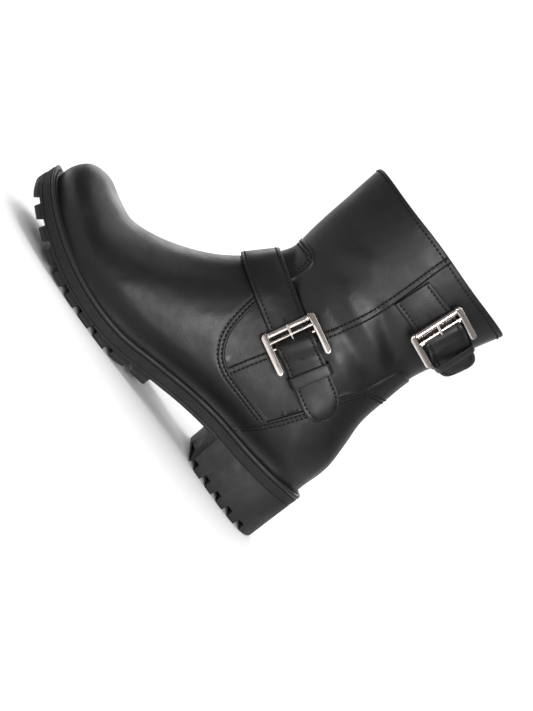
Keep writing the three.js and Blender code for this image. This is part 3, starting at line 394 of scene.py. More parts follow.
def seam_line(rows, side, spacing=1.4, end_turn=None):
    """A drawn line as close-set places on the form; it can be led on to the front or the back."""
    dense = catmull(at(rows), 16)
    count = max(int(run_along(dense)[-1] / spacing), 4)
    places, left = onto_form(evenly(dense, count, closed=False), side)
    places = places[left < 0.25]
    if end_turn is not None:
        u, turn = places[-1]
        z = form_point(u, turn)[2]
        column = np.linspace(max(u - 0.06, 0), min(u + 0.06, 1), 400)
        end_u = column[np.argmin(np.abs(form_point(column, end_turn)[:, 2] - z))]
        gap_mm = np.linalg.norm(form_point(end_u, end_turn) - form_point(u, turn))
        steps = max(int(gap_mm / spacing), 1)
        more = np.linspace([u, turn], [end_u, end_turn], steps + 1)[1:]
        places = np.vstack([places, more])
    return places


def catmull(points, steps):
    """Smooth open curve through points."""
    p = np.asarray(points, float)
    p = np.vstack([2 * p[0] - p[1], p, 2 * p[-1] - p[-2]])
    found = []
    for i in range(1, len(p) - 2):
        a, b, c, d = p[i - 1:i + 3]
        t = np.arange(steps)[:, None] / steps
        found.append(0.5 * (2 * b + (c - a) * t + (2 * a - 5 * b + 4 * c - d) * t**2
                            + (3 * b - a - 3 * c + d) * t**3))
    return np.vstack(found + [p[-2:-1]])


# %% [markdown]
# ## The seams themselves
# The vamp's edge is a U that starts at the sole, climbs beside the instep and crosses the front under
# the shaft. The counter cups the heel. One seam joins the front and back of the shaft on the outer
# side, and the zip does it on the inner side. Their rows were read off the photo.

# %% Seams of the boot
outer_arc_rows = [
    [0.205, 0.104], [0.222, 0.116], [0.300, 0.125], [0.365, 0.142], [0.405, 0.180], [0.437, 0.255],
    [0.455, 0.370], [0.458, 0.480], [0.452, 0.590], [0.455, 0.640], [0.466, 0.672], [0.484, 0.690],
    [0.515, 0.697],
]
inner_arc_rows = [
    [0.150, 0.080], [0.200, 0.095], [0.290, 0.100], [0.345, 0.130], [0.385, 0.185], [0.405, 0.270],
    [0.415, 0.400], [0.420, 0.530], [0.420, 0.620], [0.432, 0.660], [0.455, 0.684], [0.484, 0.694],
    [0.515, 0.697],
]
outer_counter_rows = [
    [0.270, -0.04], [0.252, 0.0], [0.222, 0.105], [0.199, 0.210], [0.182, 0.300], [0.165, 0.400],
    [0.147, 0.470], [0.139, 0.560], [0.130, 0.605], [0.100, 0.609],
]
inner_counter_rows = [
    [0.235, -0.04], [0.215, 0.0], [0.165, 0.085], [0.145, 0.200], [0.122, 0.335], [0.105, 0.450],
    [0.108, 0.560], [0.104, 0.603], [0.098, 0.609],
]
side_seam_rows = [
    [0.372, 0.105], [0.352, 0.240], [0.325, 0.400], [0.303, 0.520], [0.293, 0.610], [0.287, 0.690],
    [0.287, 0.760], [0.289, 0.860], [0.292, 0.950], [0.293, 1.080],
]
zip_rows = [
    [0.266, 0.115], [0.262, 0.225], [0.255, 0.350], [0.247, 0.470], [0.231, 0.630],
    [0.222, 0.780], [0.2205, 0.880], [0.218, 1.000], [0.216, 1.060],
]
collar_rows = [[0.02, 0.985], [0.05, 0.985], [0.20, 1.000], [0.33, 1.020], [0.45, 1.055], [0.56, 1.107]]
outer_arc = seam_line(outer_arc_rows, 1, end_turn=FRONT)
inner_arc = seam_line(inner_arc_rows, -1, end_turn=FRONT)
outer_counter = seam_line(outer_counter_rows, 1, end_turn=BACK)
inner_counter = seam_line(inner_counter_rows, -1, end_turn=BACK + 2 * math.pi)
side_seam = seam_line(side_seam_rows, 1)
zip_line = seam_line(zip_rows, -1)
for name, line in (("outer arc", outer_arc), ("inner arc", inner_arc), ("outer counter", outer_counter),
                   ("inner counter", inner_counter), ("side seam", side_seam), ("zip", zip_line)):
    length = run_along(form_point(line[:, 0], line[:, 1]))[-1]
    print(name, "seam:", len(line), "places,", round(length), "mm")

# %% [markdown]
# ## Working tools for the meshes
# Each visible piece is a mesh of its own. `make` turns points in the tables' millimetres into an
# object, hangs it on the body it moves with, and shades it smooth.

# %% Mesh tools
BOOT, PULL = "boot", "zip_pull"


def new_mesh(name, points, faces, material=None):
    """A mesh from points in metres."""
    mesh = bpy.data.meshes.new(name)
    mesh.from_pydata(np.asarray(points).tolist(), [], [list(map(int, f)) for f in faces])
    if material:
        mesh.materials.append(material)
    return mesh


def new_object(name, data):
    obj = bpy.data.objects.new(name, data)
    bpy.context.scene.collection.objects.link(obj)
    return obj


def shade(mesh, sharp_from=None):
    """Smooth shading, with edges kept sharp from an angle in degrees on."""
    mesh.polygons.foreach_set("use_smooth", [True] * len(mesh.polygons))
    if sharp_from:
        mesh.set_sharp_from_angle(angle=math.radians(sharp_from))


def make(name, points, faces, material, slot, node=None, body=BOOT, creased=None):
    """A visible piece from points in the tables' millimetres, on its body and CAD node; the slot is not
    used.
    """
    mesh = new_mesh(name, (np.asarray(points, float) + SHIFT) * MM, faces, material)
    mesh.validate()
    mesh.update()
    shade(mesh, creased)
    obj = new_object(name, mesh)
    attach(obj, body)
    if node:
        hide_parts(node)
    return obj


def grid_faces(rows, columns, closed=False):
    """Quads of a grid of rows by columns; the columns can close into a ring."""
    faces = []
    last = columns if closed else columns - 1
    for i in range(rows - 1):
        for j in range(last):
            k = (j + 1) % columns
            faces.append((i * columns + j, i * columns + k, (i + 1) * columns + k, (i + 1) * columns + j))
    return faces


def swept(rings):
    """Points and faces through closed rings of equal count, with flat ends."""
    rings = np.asarray(rings, float)
    rows, columns = rings.shape[:2]
    faces = grid_faces(rows, columns, closed=True)
    faces += [tuple(range(columns))[::-1], tuple(range((rows - 1) * columns, rows * columns))]
    return rings.reshape(-1, 3), faces


def tube(path, radius, sides=8):
    """Points and faces of a round bar along a path; the radius can be a list, one for each point."""
    p = np.asarray(path, float)
    forward = unit(np.gradient(p, axis=0))
    side = np.cross(forward[0], [0, 0, 1.0])
    if np.linalg.norm(side) < 0.2:
        side = np.cross(forward[0], [1.0, 0, 0])
    a = 2 * math.pi * np.arange(sides)[:, None] / sides
    rings = []
    for f, centre, r in zip(forward, p, np.broadcast_to(radius, len(p))):
        side = unit(side - f * np.dot(side, f))
        rings.append(centre + r * (np.cos(a) * side + np.sin(a) * np.cross(side, f)))
    return swept(rings)


def join(parts):
    """One list of points and one of faces from several."""
    points, faces, start = [], [], 0
    for p, f in parts:
        points.append(np.asarray(p, float))
        faces += [tuple(k + start for k in face) for face in f]
        start += len(p)
    return np.concatenate(points), faces

# %% [markdown]
# ## Panels, steps and creases of the leather
# The vamp and the counter are cut from leather of about one millimetre and sewn over the quarters, so
# each edge is a small rounded step with one or two stitch rows sunk beside it. The folds at the ankle
# and over the instep come from bending in wear. All of them are written as one height over the form:
# a step across each seam, a groove under each stitch row, and soft troughs and ridges listed one by one.

# %% Seam guides
VAMP_RISE, COUNTER_RISE, SEAM_RISE, SEAM_WIDTH = 0.9, 1.3, 0.6, 4.4
vamp_line = np.vstack([outer_arc, inner_arc[::-1][1:]])
LOW, HIGH = BACK, BACK + 2 * math.pi


class Guide:
    """A line on the form that tells how far, and to which side, other places lie."""

    def __init__(self, places, flip=False):
        self.places = np.asarray(places, float)
        self.points, normal, _, _ = form_frame(self.places[:, 0], self.places[:, 1])
        self.tangent = unit(np.gradient(self.points, axis=0))
        self.across = unit(np.cross(normal, self.tangent)) * (-1 if flip else 1)
        self.tree = KDTree(len(self.points))
        for k, p in enumerate(self.points):
            self.tree.insert(p, k)
        self.tree.balance()
        self.run = run_along(self.points)

    def measure(self, points, within=14.0):
        """Signed distance across the line, distance beyond its ends, and place along it."""
        flat = points.reshape(-1, 3)
        off = np.full(len(flat), 1e3)
        past = np.zeros(len(flat))
        along = np.zeros(len(flat))
        for i, p in enumerate(flat):
            _, k, distance = self.tree.find(p)
            along[i] = self.run[k]
            if distance < within:
                delta = p - self.points[k]
                off[i] = delta @ self.across[k]
                lead = delta @ self.tangent[k]
                if k == 0:
                    past[i] = max(-lead, 0)
                if k == len(self.points) - 1:
                    past[i] = max(lead, 0)
                if past[i] > 0.4:
                    off[i] = math.copysign(distance, off[i])
        return off, past, along


def offset_places(guide, distance, spacing=None):
    """Places beside a guide, at a distance across it."""
    moved = guide.places.copy()
    target = guide.points + guide.across * distance
    for _ in range(4):
        point, _, along, around = form_frame(moved[:, 0], moved[:, 1])
        miss = target - point
        a, b, c = ((m * n).sum(1) for m, n in ((along, along), (along, around), (around, around)))
        p, q = (miss * along).sum(1), (miss * around).sum(1)
        det = np.maximum(a * c - b * b, 1.0)
        u_step = np.clip((c * p - b * q) / det, -0.03, 0.03)
        moved[:, 0] = np.clip(moved[:, 0] + u_step, 0, 1)
        moved[:, 1] += np.clip((a * q - b * p) / det, -0.3, 0.3)
    if spacing is None:
        return moved
    run = run_along(form_point(moved[:, 0], moved[:, 1]))
    return at_run(moved, run, np.arange(0, run[-1], spacing))


def inside(polygon, places):
    """Even-odd test of places (u, turn) in a polygon."""
    p = np.asarray(polygon, float)
    q = np.roll(p, -1, axis=0)
    u, t = places[:, 0], places[:, 1]
    result = np.zeros(len(places), bool)
    for (u0, t0), (u1, t1) in zip(p, q):
        if t0 == t1:
            continue
        crosses = ((t0 > t) != (t1 > t)) & (u < (u1 - u0) * (t - t0) / (t1 - t0) + u0)
        result ^= crosses
    return result


EDGE = 0.1
vamp_guide = Guide(vamp_line)
counter_guides = [Guide(outer_counter, flip=True), Guide(inner_counter)]
seam_guide = Guide(side_seam)
zip_guide = Guide(zip_line)
vamp_area = np.vstack([vamp_line, [[vamp_line[-1, 0], HIGH + EDGE], [-EDGE, HIGH + EDGE],
                                   [-EDGE, LOW - EDGE], [vamp_line[0, 0], LOW - EDGE]]])
outer_counter_area = np.vstack([outer_counter, [[outer_counter[-1, 0], LOW - EDGE],
                                                [outer_counter[0, 0], LOW - EDGE]]])
inner_counter_area = np.vstack([inner_counter, [[inner_counter[-1, 0], HIGH + EDGE],
                                                [inner_counter[0, 0], HIGH + EDGE]]])
for name, guide, area in (("vamp", vamp_guide, vamp_area),
                          ("outer counter", counter_guides[0], outer_counter_area),
                          ("inner counter", counter_guides[1], inner_counter_area)):
    probe = offset_places(guide, 3.0)[20:-20]
    print(name, "guide's raised side:", inside(area, probe).mean().round(2), "(should be 1)")

# %% [markdown]
# ## Folds and panel steps
# Leather that is bent again and again keeps soft folds. On this boot they run round the ankle, between
# the two straps. Each fold is a line with a height and a width, drawn on the side view from the photo,
# and fades out at both ends. Panel edges and sewing channels are added in the same way.

# %% Heights over the form
creases = []


def crease(rows, side, amount, width, ends=14.0):
    """A soft trough (amount below 0) or ridge along a line of x and z in mm, on one side."""
    line = catmull(np.asarray(rows, float), 10)
    count = max(int(run_along(line)[-1] / 2.0), 4)
    places, left = onto_form(evenly(line, count, closed=False), side)
    creases.append((Guide(places[left < 1.5]), amount, width, ends))


# The ankle bends between the two straps, so its folds run from front to back there.
OUTER, INNER = 1, -1
for line, side, amount, width in (
    ([(112, 148), (93, 146.5), (76, 145), (60, 144), (42, 140)], OUTER, 1.15, 5.0),
    ([(104, 132), (86, 132), (68, 131), (52, 130), (38, 132)], OUTER, -1.0, 4.5),
    ([(84, 121), (66, 119), (50, 118), (36, 120)], OUTER, 0.7, 4.5),
    ([(88, 162), (70, 157), (54, 151), (38, 146)], OUTER, -1.1, 4.5),
    ([(74, 171), (60, 166), (46, 158)], OUTER, 0.6, 5.0),
    ([(132, 154), (120, 162), (107, 169), (93, 174)], OUTER, 0.6, 6.5),
    ([(124, 146), (110, 156), (96, 160)], OUTER, -0.5, 5.5),
    ([(106, 208), (92, 201), (76, 196)], OUTER, 0.4, 8.0),
    ([(50, 60), (36, 66), (20, 72)], OUTER, 0.55, 7.0),
    ([(62, 140), (78, 147), (94, 155), (110, 164)], INNER, -0.8, 5.0),
    ([(58, 152), (74, 159), (90, 168)], INNER, 0.7, 5.0),
    ([(92, 119), (106, 125), (120, 131)], INNER, -0.6, 5.0),
    ([(88, 131), (102, 137), (116, 144)], INNER, 0.5, 5.0),
    ([(40, 74), (62, 71), (86, 70)], INNER, -0.45, 6.0),
):
    crease(line, side, amount, width)
print("folds placed by hand:", len(creases))

ROW_DEPTH, NEAR, FAR_OFF = 0.38, 8, 20
ZIP_ROW, ZIP_ROW_DEPTH = 7.4, 0.18
ROWS = (2.0, 4.6)
SEAM_ROW = 1.75
TAB_ROWS = 0.472


def step(distance, height, width=0.5):
    """Rounded edge of a sewn-on panel: 0 outside, the full height inside."""
    t = np.clip(distance / width, 0, 1)
    return height * np.sqrt(1 - (1 - t) ** 2)


def groove(distance, place, depth, width=0.7):
    return -depth * np.exp(-((distance - place) / width) ** 2)


def signed_offset(guide, area, places, points, ends=99.0):
    """Distance inside a panel's edge where the edge is near, and a far value elsewhere."""
    off, past, _ = guide.measure(points)
    near = (np.abs(off) < NEAR) & (past < ends)
    is_inside = np.where(near, off > 0, inside(area, places))
    return np.where(near, off, np.where(is_inside, FAR_OFF, -FAR_OFF)), is_inside


def leather_height(u, turn):
    """Height of the finished leather over the form, in mm."""
    shape = np.shape(u)
    places = np.stack([np.ravel(u), np.ravel(turn)], axis=1)
    points = form_point(places[:, 0], places[:, 1])
    vamp_off, in_vamp = signed_offset(vamp_guide, vamp_area, places, points)
    height = step(vamp_off, VAMP_RISE) + sum(groove(vamp_off, place, ROW_DEPTH) for place in ROWS)
    sides = [signed_offset(guide, area, places, points, 0.4)
             for guide, area in zip(counter_guides, (outer_counter_area, inner_counter_area))]
    counter_off = np.maximum(sides[0][0], sides[1][0])
    in_counter = sides[0][1] | sides[1][1]
    rise = np.where(in_counter, step(counter_off, COUNTER_RISE), 0)
    turned = in_counter & (points[:, 2] - seat(points[:, 0]) > TAB_ROWS * UPPER_HEIGHT + 2)
    for place in ROWS:
        rise += np.where(in_counter & ~turned, groove(counter_off, place, ROW_DEPTH), 0)
    height = np.where(in_counter, np.maximum(rise, height * (counter_off < 0.5)), height)
    off, past, _ = seam_guide.measure(points)
    strip = step(SEAM_WIDTH / 2 - np.abs(off), SEAM_RISE, 0.4)
    strip += groove(np.abs(off), SEAM_ROW, 0.25, 0.6) + groove(off, 0, 0.25, 0.4)
    height += np.where((past < 0.5) & ~in_vamp & (np.abs(off) < 9), strip, 0)
    off, past, _ = zip_guide.measure(points)
    height += np.where(past < 2, groove(np.abs(off), ZIP_ROW, ZIP_ROW_DEPTH), 0)
    for guide, amount, width, ends in creases:
        off, past, along = guide.measure(points, within=width * 3.2 + ends * 0.2)
        taper = ease(0, ends, along) * ease(0, ends, guide.run[-1] - along) * np.exp(-past / 3)
        height += np.where(off < 900, amount * np.exp(-(off / width) ** 2) * taper, 0)
    return height.reshape(shape)

# %% [markdown]
# ## The leather skin
# The skin needs to be fine beside its seams and can be coarse elsewhere. Points are set in rows along
# every seam, and in an even honeycomb between them, all on the flat map of the form (along, around).
# A constrained Delaunay net joins them, keeping the seam lines, the collar and the zip's edges as
# clean edges, and each point is then lifted to its place and its height.

# %% Points and net of the skin
ALONG_MM, AROUND_MM = 430.0, 46.0
SKIN_STEP = 2.4
ZIP_OPEN = 5.5
LIP = 1.1

collar = {}
for side in (1, -1):
    dense = catmull(at(collar_rows), 16)
    places, left = onto_form(evenly(dense, 140, closed=False), side)
    collar[side] = places[left < 0.3]


def level_at(turn, side):
    """Place u of the collar at a turn."""
    chosen = collar[side]
    order = np.argsort(chosen[:, 1])
    return np.interp(turn, chosen[order, 1], chosen[order, 0])


turns_up = np.linspace(LOW, HIGH, 361)
collar_u = np.where(np.cos(turns_up) >= 0, level_at(turns_up, 1), level_at(turns_up, -1))
print("collar, u from", collar_u.min().round(3), "to", collar_u.max().round(3))


def flat(places):
    return np.asarray(places, float) * [ALONG_MM, AROUND_MM]


def smooth_ring(values, rounds):
    for _ in range(rounds):
        values = (np.roll(values, 1) + 2 * values + np.roll(values, -1)) / 4
    return values


collar_u = np.append(smooth_ring(collar_u[:-1], 12), 0)
collar_u[-1] = collar_u[0]


def collar_at(turn):
    return np.interp(turn, turns_up, collar_u)


along_size = np.linalg.norm(form_frame(collar_u, turns_up)[2], axis=1).mean()


def keep(places, slack=0.0):
    """True for places on the visible leather: under the collar, outside the zip, above the sole."""
    u, t = places[:, 0], places[:, 1]
    points = form_point(u, t)
    good = (u <= collar_at(t) + 1e-6 + slack / along_size) & (t >= LOW) & (t <= HIGH)
    good &= points[:, 2] > seat(points[:, 0]) - 3.2
    off, past, _ = zip_guide.measure(points)
    good &= ~((np.abs(off) < ZIP_OPEN - 1e-3 - slack) & (past < 0.1))
    return good


net_points, net_edges = [], []


def add_row(places, linked):
    """Adds a row of places to the net; linked rows stay edges of it."""
    good = keep(places, 0.02)
    number = np.cumsum(good) - 1 + len(net_points)
    net_points.extend(tuple(place) for place in flat(places[good]))
    if linked:
        for k in np.flatnonzero(good[:-1] & good[1:]):
            net_edges.append((int(number[k]), int(number[k + 1])))


RUN = 1.5
row_turns = np.linspace(LOW, HIGH, int(330 / RUN))
for depth in (0, 0.12, 0.35, 0.7, 1.1, 1.7, 2.4, 3.0, 3.6, 4.6):
    add_row(np.stack([collar_at(row_turns) - depth / along_size, row_turns], axis=1), depth == 0)
for side in (1, -1):
    for depth in (0, 0.12, 0.35, 0.7, 1.1, 1.6, 2.2, 3.0):
        add_row(offset_places(zip_guide, side * (ZIP_OPEN + depth), RUN), depth == 0)
for depth in (-0.5, 0, 0.12, 0.3, 0.5, 0.9, 1.4, 2.0, 2.6, 3.3, 4.0, 4.6, 5.2, 6.2):
    for guide in [vamp_guide] + counter_guides:
        add_row(offset_places(guide, depth, RUN), depth in (0, 0.5))
for depth in (0, 0.5, 1.2, 1.8, 1.95, 2.2, 2.7, 3.6, 4.4, 5.2):
    for side in (1, -1):
        add_row(offset_places(seam_guide, side * depth, RUN), depth == 2.2)
rows_tree = KDTree(len(net_points))
for k, (a, b) in enumerate(net_points):
    rows_tree.insert((a, b, 0), k)
rows_tree.balance()
rows_made = len(net_points)
honeycomb = []
for i, a in enumerate(np.arange(0.0, ALONG_MM, SKIN_STEP * 0.87)):
    low_side = LOW * AROUND_MM + SKIN_STEP * (0.5 + 0.5 * (i % 2))
    for b in np.arange(low_side, HIGH * AROUND_MM - 0.4 * SKIN_STEP, SKIN_STEP):
        if rows_tree.find((a, b, 0))[2] > 0.55 * SKIN_STEP:
            honeycomb.append((a / ALONG_MM, b / AROUND_MM))
honeycomb = np.array(honeycomb)
net_points += [tuple(p) for p in flat(honeycomb[keep(honeycomb)])]
cut_u = np.arange(0, collar_at(LOW), 1.6 / ALONG_MM)
for turn in (LOW, HIGH):
    add_row(np.stack([cut_u, np.full(len(cut_u), turn)], axis=1), True)
print("net:", rows_made, "points in rows,", len(net_points), "in all")
found = delaunay_2d_cdt([Vector(p) for p in net_points], net_edges, [], 0, 1e-5)
net = np.array([tuple(v) for v in found[0]]) / [ALONG_MM, AROUND_MM]
triangles = np.array([tuple(f) for f in found[2]])
middle = net[triangles].mean(axis=1)
good = keep(middle, -0.01)
corner = flat(net)[triangles]
longest = np.max([np.linalg.norm(corner[:, k] - corner[:, k - 1], axis=1) for k in range(3)], axis=0)
triangles = triangles[good & (longest < 5 * SKIN_STEP)]
print("skin:", len(net), "points,", len(triangles), "triangles")

# %% [markdown]
# ## Lifting the net to its place
# The edge of real leather at a collar or a zip is turned in and sewn down. Near those edges the net
# therefore rolls inward on a quarter circle, and the lining starts where the roll ends.

# %% Finished surface
def rim_depth(u, turn):
    """Depth by which the leather rolls in at the collar and at the zip's edges."""
    points = form_point(u, turn)
    to_edge = (collar_at(turn) - u) * along_size
    off, past, _ = zip_guide.measure(points)
    to_zip = np.where(past < 0.5, np.abs(off) - ZIP_OPEN, 99)
    inner = np.clip(LIP - np.minimum(to_edge, to_zip), 0, LIP)
    return LIP - np.sqrt(np.maximum(LIP**2 - inner**2, 0))


def leather(u, turn):
    """Finished outer surface and its normal, in the tables' millimetres."""
    point, normal, _, _ = form_frame(u, turn)
    lift = leather_height(u, turn) - rim_depth(u, turn)
    return point + normal * lift[..., None], normal


u, turn = net[:, 0], net[:, 1]
outer_points, normal = leather(u, turn)
base = form_point(u, turn)
inner_points = base + normal * (rim_depth(u, turn) - 2 * LIP)[:, None]

# %% [markdown]
# ## Materials
# Each finish is a small node network with its pattern computed in the object's own space. The leather
# is a dyed, lightly waxed black: a sharp but uneven sheen over fine pores. The rubber is dull. The
# buckles are nickel plated, and the thread is dull black.

# %% Materials
def material(name, colour, roughness, metallic=0.0, specular=0.5):
    mat = bpy.data.materials.new(name)
    mat.use_nodes = True
    shader = mat.node_tree.nodes["Principled BSDF"]
    shader.inputs["Base Color"].default_value = (*colour, 1)
    shader.inputs["Roughness"].default_value = roughness
    shader.inputs["Metallic"].default_value = metallic
    shader.inputs["Specular IOR Level"].default_value = specular
    return mat, mat.node_tree, shader


def noise(tree, scale, detail=4.0, roughness=0.5):
    place = tree.nodes.get("Place") or tree.nodes.new("ShaderNodeTexCoord")
    place.name = "Place"
    node = tree.nodes.new("ShaderNodeTexNoise")
    tree.links.new(place.outputs["Object"], node.inputs["Vector"])
    node.inputs["Scale"].default_value = scale
    node.inputs["Detail"].default_value = detail
    node.inputs["Roughness"].default_value = roughness
    return node


def spread(tree, source, low, high, start=0.3, end=0.7):
    """A value from low to high as the source goes from start to end."""
    node = tree.nodes.new("ShaderNodeMapRange")
    tree.links.new(source, node.inputs["Value"])
    for socket, value in (("From Min", start), ("From Max", end), ("To Min", low), ("To Max", high)):
        node.inputs[socket].default_value = value
    return node.outputs["Result"]


def bump(tree, height, strength, distance, under=None):
    node = tree.nodes.new("ShaderNodeBump")
    tree.links.new(height, node.inputs["Height"])
    node.inputs["Strength"].default_value = strength
    node.inputs["Distance"].default_value = distance
    if under is not None:
        tree.links.new(under, node.inputs["Normal"])
    return node.outputs["Normal"]


def leather_material(name, colour, low, high):
    mat, tree, shader = material(name, colour, 0.4, specular=0.27)
    patch = noise(tree, 55.0, 5.0, 0.6)
    tree.links.new(spread(tree, patch.outputs["Fac"], low, high), shader.inputs["Roughness"])
    pores = tree.nodes.new("ShaderNodeTexVoronoi")
    tree.links.new(tree.nodes["Place"].outputs["Object"], pores.inputs["Vector"])
    pores.inputs["Scale"].default_value = 1300.0
    pores.feature = "F1"
    fine = bump(tree, pores.outputs["Distance"], 0.10, 0.0004)
    waves = noise(tree, 160.0, 6.0, 0.55)
    middle = bump(tree, waves.outputs["Fac"], 0.16, 0.0006, fine)
    swells = noise(tree, 42.0, 2.0, 0.5)
    tree.links.new(bump(tree, swells.outputs["Fac"], 0.35, 0.0022, middle), shader.inputs["Normal"])
    return mat


def rubber_material(name, colour, roughness):
    mat, tree, shader = material(name, colour, roughness, specular=0.3)
    patch = noise(tree, 90.0, 5.0, 0.6)
    uneven = spread(tree, patch.outputs["Fac"], roughness - 0.1, roughness + 0.12)
    tree.links.new(uneven, shader.inputs["Roughness"])
    grit = noise(tree, 2200.0, 3.0, 0.6)
    tree.links.new(bump(tree, grit.outputs["Fac"], 0.25, 0.0003), shader.inputs["Normal"])
    return mat


def metal_material(name, colour, low, high):
    mat, tree, shader = material(name, colour, 0.2, metallic=1.0)
    patch = noise(tree, 120.0, 4.0, 0.5)
    tree.links.new(spread(tree, patch.outputs["Fac"], low, high), shader.inputs["Roughness"])
    return mat


def cloth_material(name, colour, scale, roughness=0.9):
    mat, tree, shader = material(name, colour, roughness, specular=0.2)
    weave = noise(tree, scale, 2.0, 0.5)
    tree.links.new(bump(tree, weave.outputs["Fac"], 0.5, 0.0004), shader.inputs["Normal"])
    return mat


LEATHER = leather_material("black leather", (0.0045, 0.0045, 0.005), 0.34, 0.50)
STRAP_LEATHER = leather_material("strap leather", (0.005, 0.005, 0.0055), 0.36, 0.52)
LINING = cloth_material("dark lining", (0.035, 0.032, 0.03), 900.0)
RUBBER = rubber_material("sole rubber", (0.011, 0.0108, 0.0108), 0.62)
WELT_RUBBER = rubber_material("welt rubber", (0.009, 0.009, 0.0092), 0.5)
NICKEL = metal_material("nickel", (0.66, 0.60, 0.56), 0.10, 0.22)
TAPE = cloth_material("zip tape", (0.012, 0.012, 0.013), 1500.0)
TEETH = rubber_material("zip teeth", (0.012, 0.012, 0.0126), 0.45)
THREAD = cloth_material("black thread", (0.004, 0.004, 0.0042), 2600.0, 0.8)

# %% [markdown]
# ## The upper
# On the real boot the panels are sewn flat and pulled over a last. Here the skin carries all panels in
# one mesh, because they touch everywhere. Its edges at the collar and along the zip roll in to meet
# the lining, which is the same net set two millimetres further in.

# %% The leather and its lining
make("upper_leather", outer_points, triangles, LEATHER, "upper_leather", "upper")
make("lining", inner_points, triangles[:, ::-1], LINING, "insole_lining")
print("upper:", len(triangles), "triangles outside, as many inside")

# %% [markdown]
# ## Stitches
# A sewing machine leaves a row of short thread loops that sink a little into the leather. Each stitch
# here is a small capsule laid along its row, with about a quarter of its length left as the gap.

# %% Stitches
RING = 2 * math.pi * np.arange(6)[:, None] / 6
CAPSULE_X = np.array([-1.0, -0.86, -0.55, 0.55, 0.86, 1.0])[:, None, None] / 2
CAPSULE_R = np.array([0.25, 0.75, 1.0, 1.0, 0.75, 0.25])[:, None, None]
# Pitch, length and radius of the stitches, and how deep they sink
LEATHER_THREAD = 3.0, 2.25, 0.55, 0.12
WELT_THREAD = 3.6, 2.7, 0.5, 0.05


def capsule(centre, forward, across, up, length, radius):
    """A small capsule along forward; its section is spanned by across and up."""
    ring = np.cos(RING) * across + np.sin(RING) * up
    return swept(centre + CAPSULE_X * length * forward + CAPSULE_R * radius * ring)


def stitches(points, normals, thread=LEATHER_THREAD):
    """Capsules along a dense row of points, a pitch apart."""
    pitch, length, radius, sink = thread
    run = run_along(points)
    count = int(run[-1] / pitch)
    parts = []
    for k in range(count):
        wanted = (k + 0.5) * pitch + (run[-1] - count * pitch) / 2
        a, centre, b = at_run(points, run, wanted + np.array([-0.5, 0, 0.5]) * length)
        forward = unit(b - a)
        normal = at_run(normals, run, wanted)
        normal = unit(normal - forward * (normal @ forward))
        centre = centre + normal * (0.35 * radius - sink)
        parts.append(capsule(centre, forward, np.cross(normal, forward) * 1.15, normal, length, radius))
    return parts


def leather_stitches(places, good=slice(None)):
    """Stitches along places of the leather, with a break where the row has one."""
    points, normals = leather(*places[good].T)
    gaps = np.flatnonzero(np.diff(run_along(points)) > 6) + 1
    parts = []
    for some, their in zip(np.split(points, gaps), np.split(normals, gaps)):
        if len(some) > 3:
            parts += stitches(some, their)
    return parts


def over_seat(places):
    """Height of places over the seat of the foot."""
    points = form_point(places[:, 0], places[:, 1])
    return points[:, 2] - seat(points[:, 0])


def above_sole(places):
    return (over_seat(places) > 0.8) & (places[:, 1] > LOW) & (places[:, 1] < HIGH)


def off_counter(places):
    return ~(inside(outer_counter_area, places) | inside(inner_counter_area, places))


def under_tab(places):
    return over_seat(places) < TAB_ROWS * UPPER_HEIGHT


rows = []
for distance in ROWS:
    places = offset_places(vamp_guide, distance, 1.0)
    rows += leather_stitches(places, above_sole(places) & off_counter(places))
    for guide in counter_guides:
        places = offset_places(guide, distance, 1.0)
        rows += leather_stitches(places, above_sole(places) & under_tab(places))
    for side in (1, -1):
        places = offset_places(zip_guide, side * (distance + ZIP_OPEN - 0.2), 1.0)
        rows += leather_stitches(places, keep(places) & (places[:, 0] < 0.985))
# Two rows turn across the back under the tab.
for lift in (0.0, 0.016):
    for side, turn, start in ((1, BACK, 0.127), (-1, HIGH, 0.094)):
        level = TAB_ROWS + lift
        corner_rows = [[start, level - 0.014], [start * 0.5 + 0.042, level - 0.004], [0.084, level]]
        rows += leather_stitches(seam_line(corner_rows, side, spacing=1.0, end_turn=turn))
for distance in (-SEAM_ROW, SEAM_ROW):
    places = offset_places(seam_guide, distance, 1.0)
    good = keep(places) & ~inside(vamp_area, places) & (places[:, 0] < 0.985)
    rows += leather_stitches(places, good)
collar_turns = np.linspace(LOW, HIGH, 400)
places = np.stack([collar_at(collar_turns) - 3.2 / along_size, collar_turns], axis=1)
rows += leather_stitches(places, keep(places))
make("upper_stitches", *join(rows), THREAD, "upper_leather")
print("stitches on the upper:", len(rows))

# %% [markdown]
# ## Where the straps lie
# Each strap lies in a belt plane through the boot. For any turn round that plane a ray finds the
# leather, so the strap can be laid a little above it. The buckle's own axes come from the CAD: the
# roller's length gives the direction across, and the flat arms give the plane.

# %% Rays to the leather
ring_u, ring_t = np.meshgrid(np.linspace(0.3, 0.985, 220), np.linspace(LOW, HIGH, 200), indexing="ij")
ring_points, ring_normals, _, _ = form_frame(ring_u, ring_t)
plain = ring_points + ring_normals * leather_height(ring_u, ring_t)[..., None]
round_form = BVHTree.FromPolygons(plain.reshape(-1, 3).tolist(), grid_faces(220, 200))


NO_LEATHER = 40.0


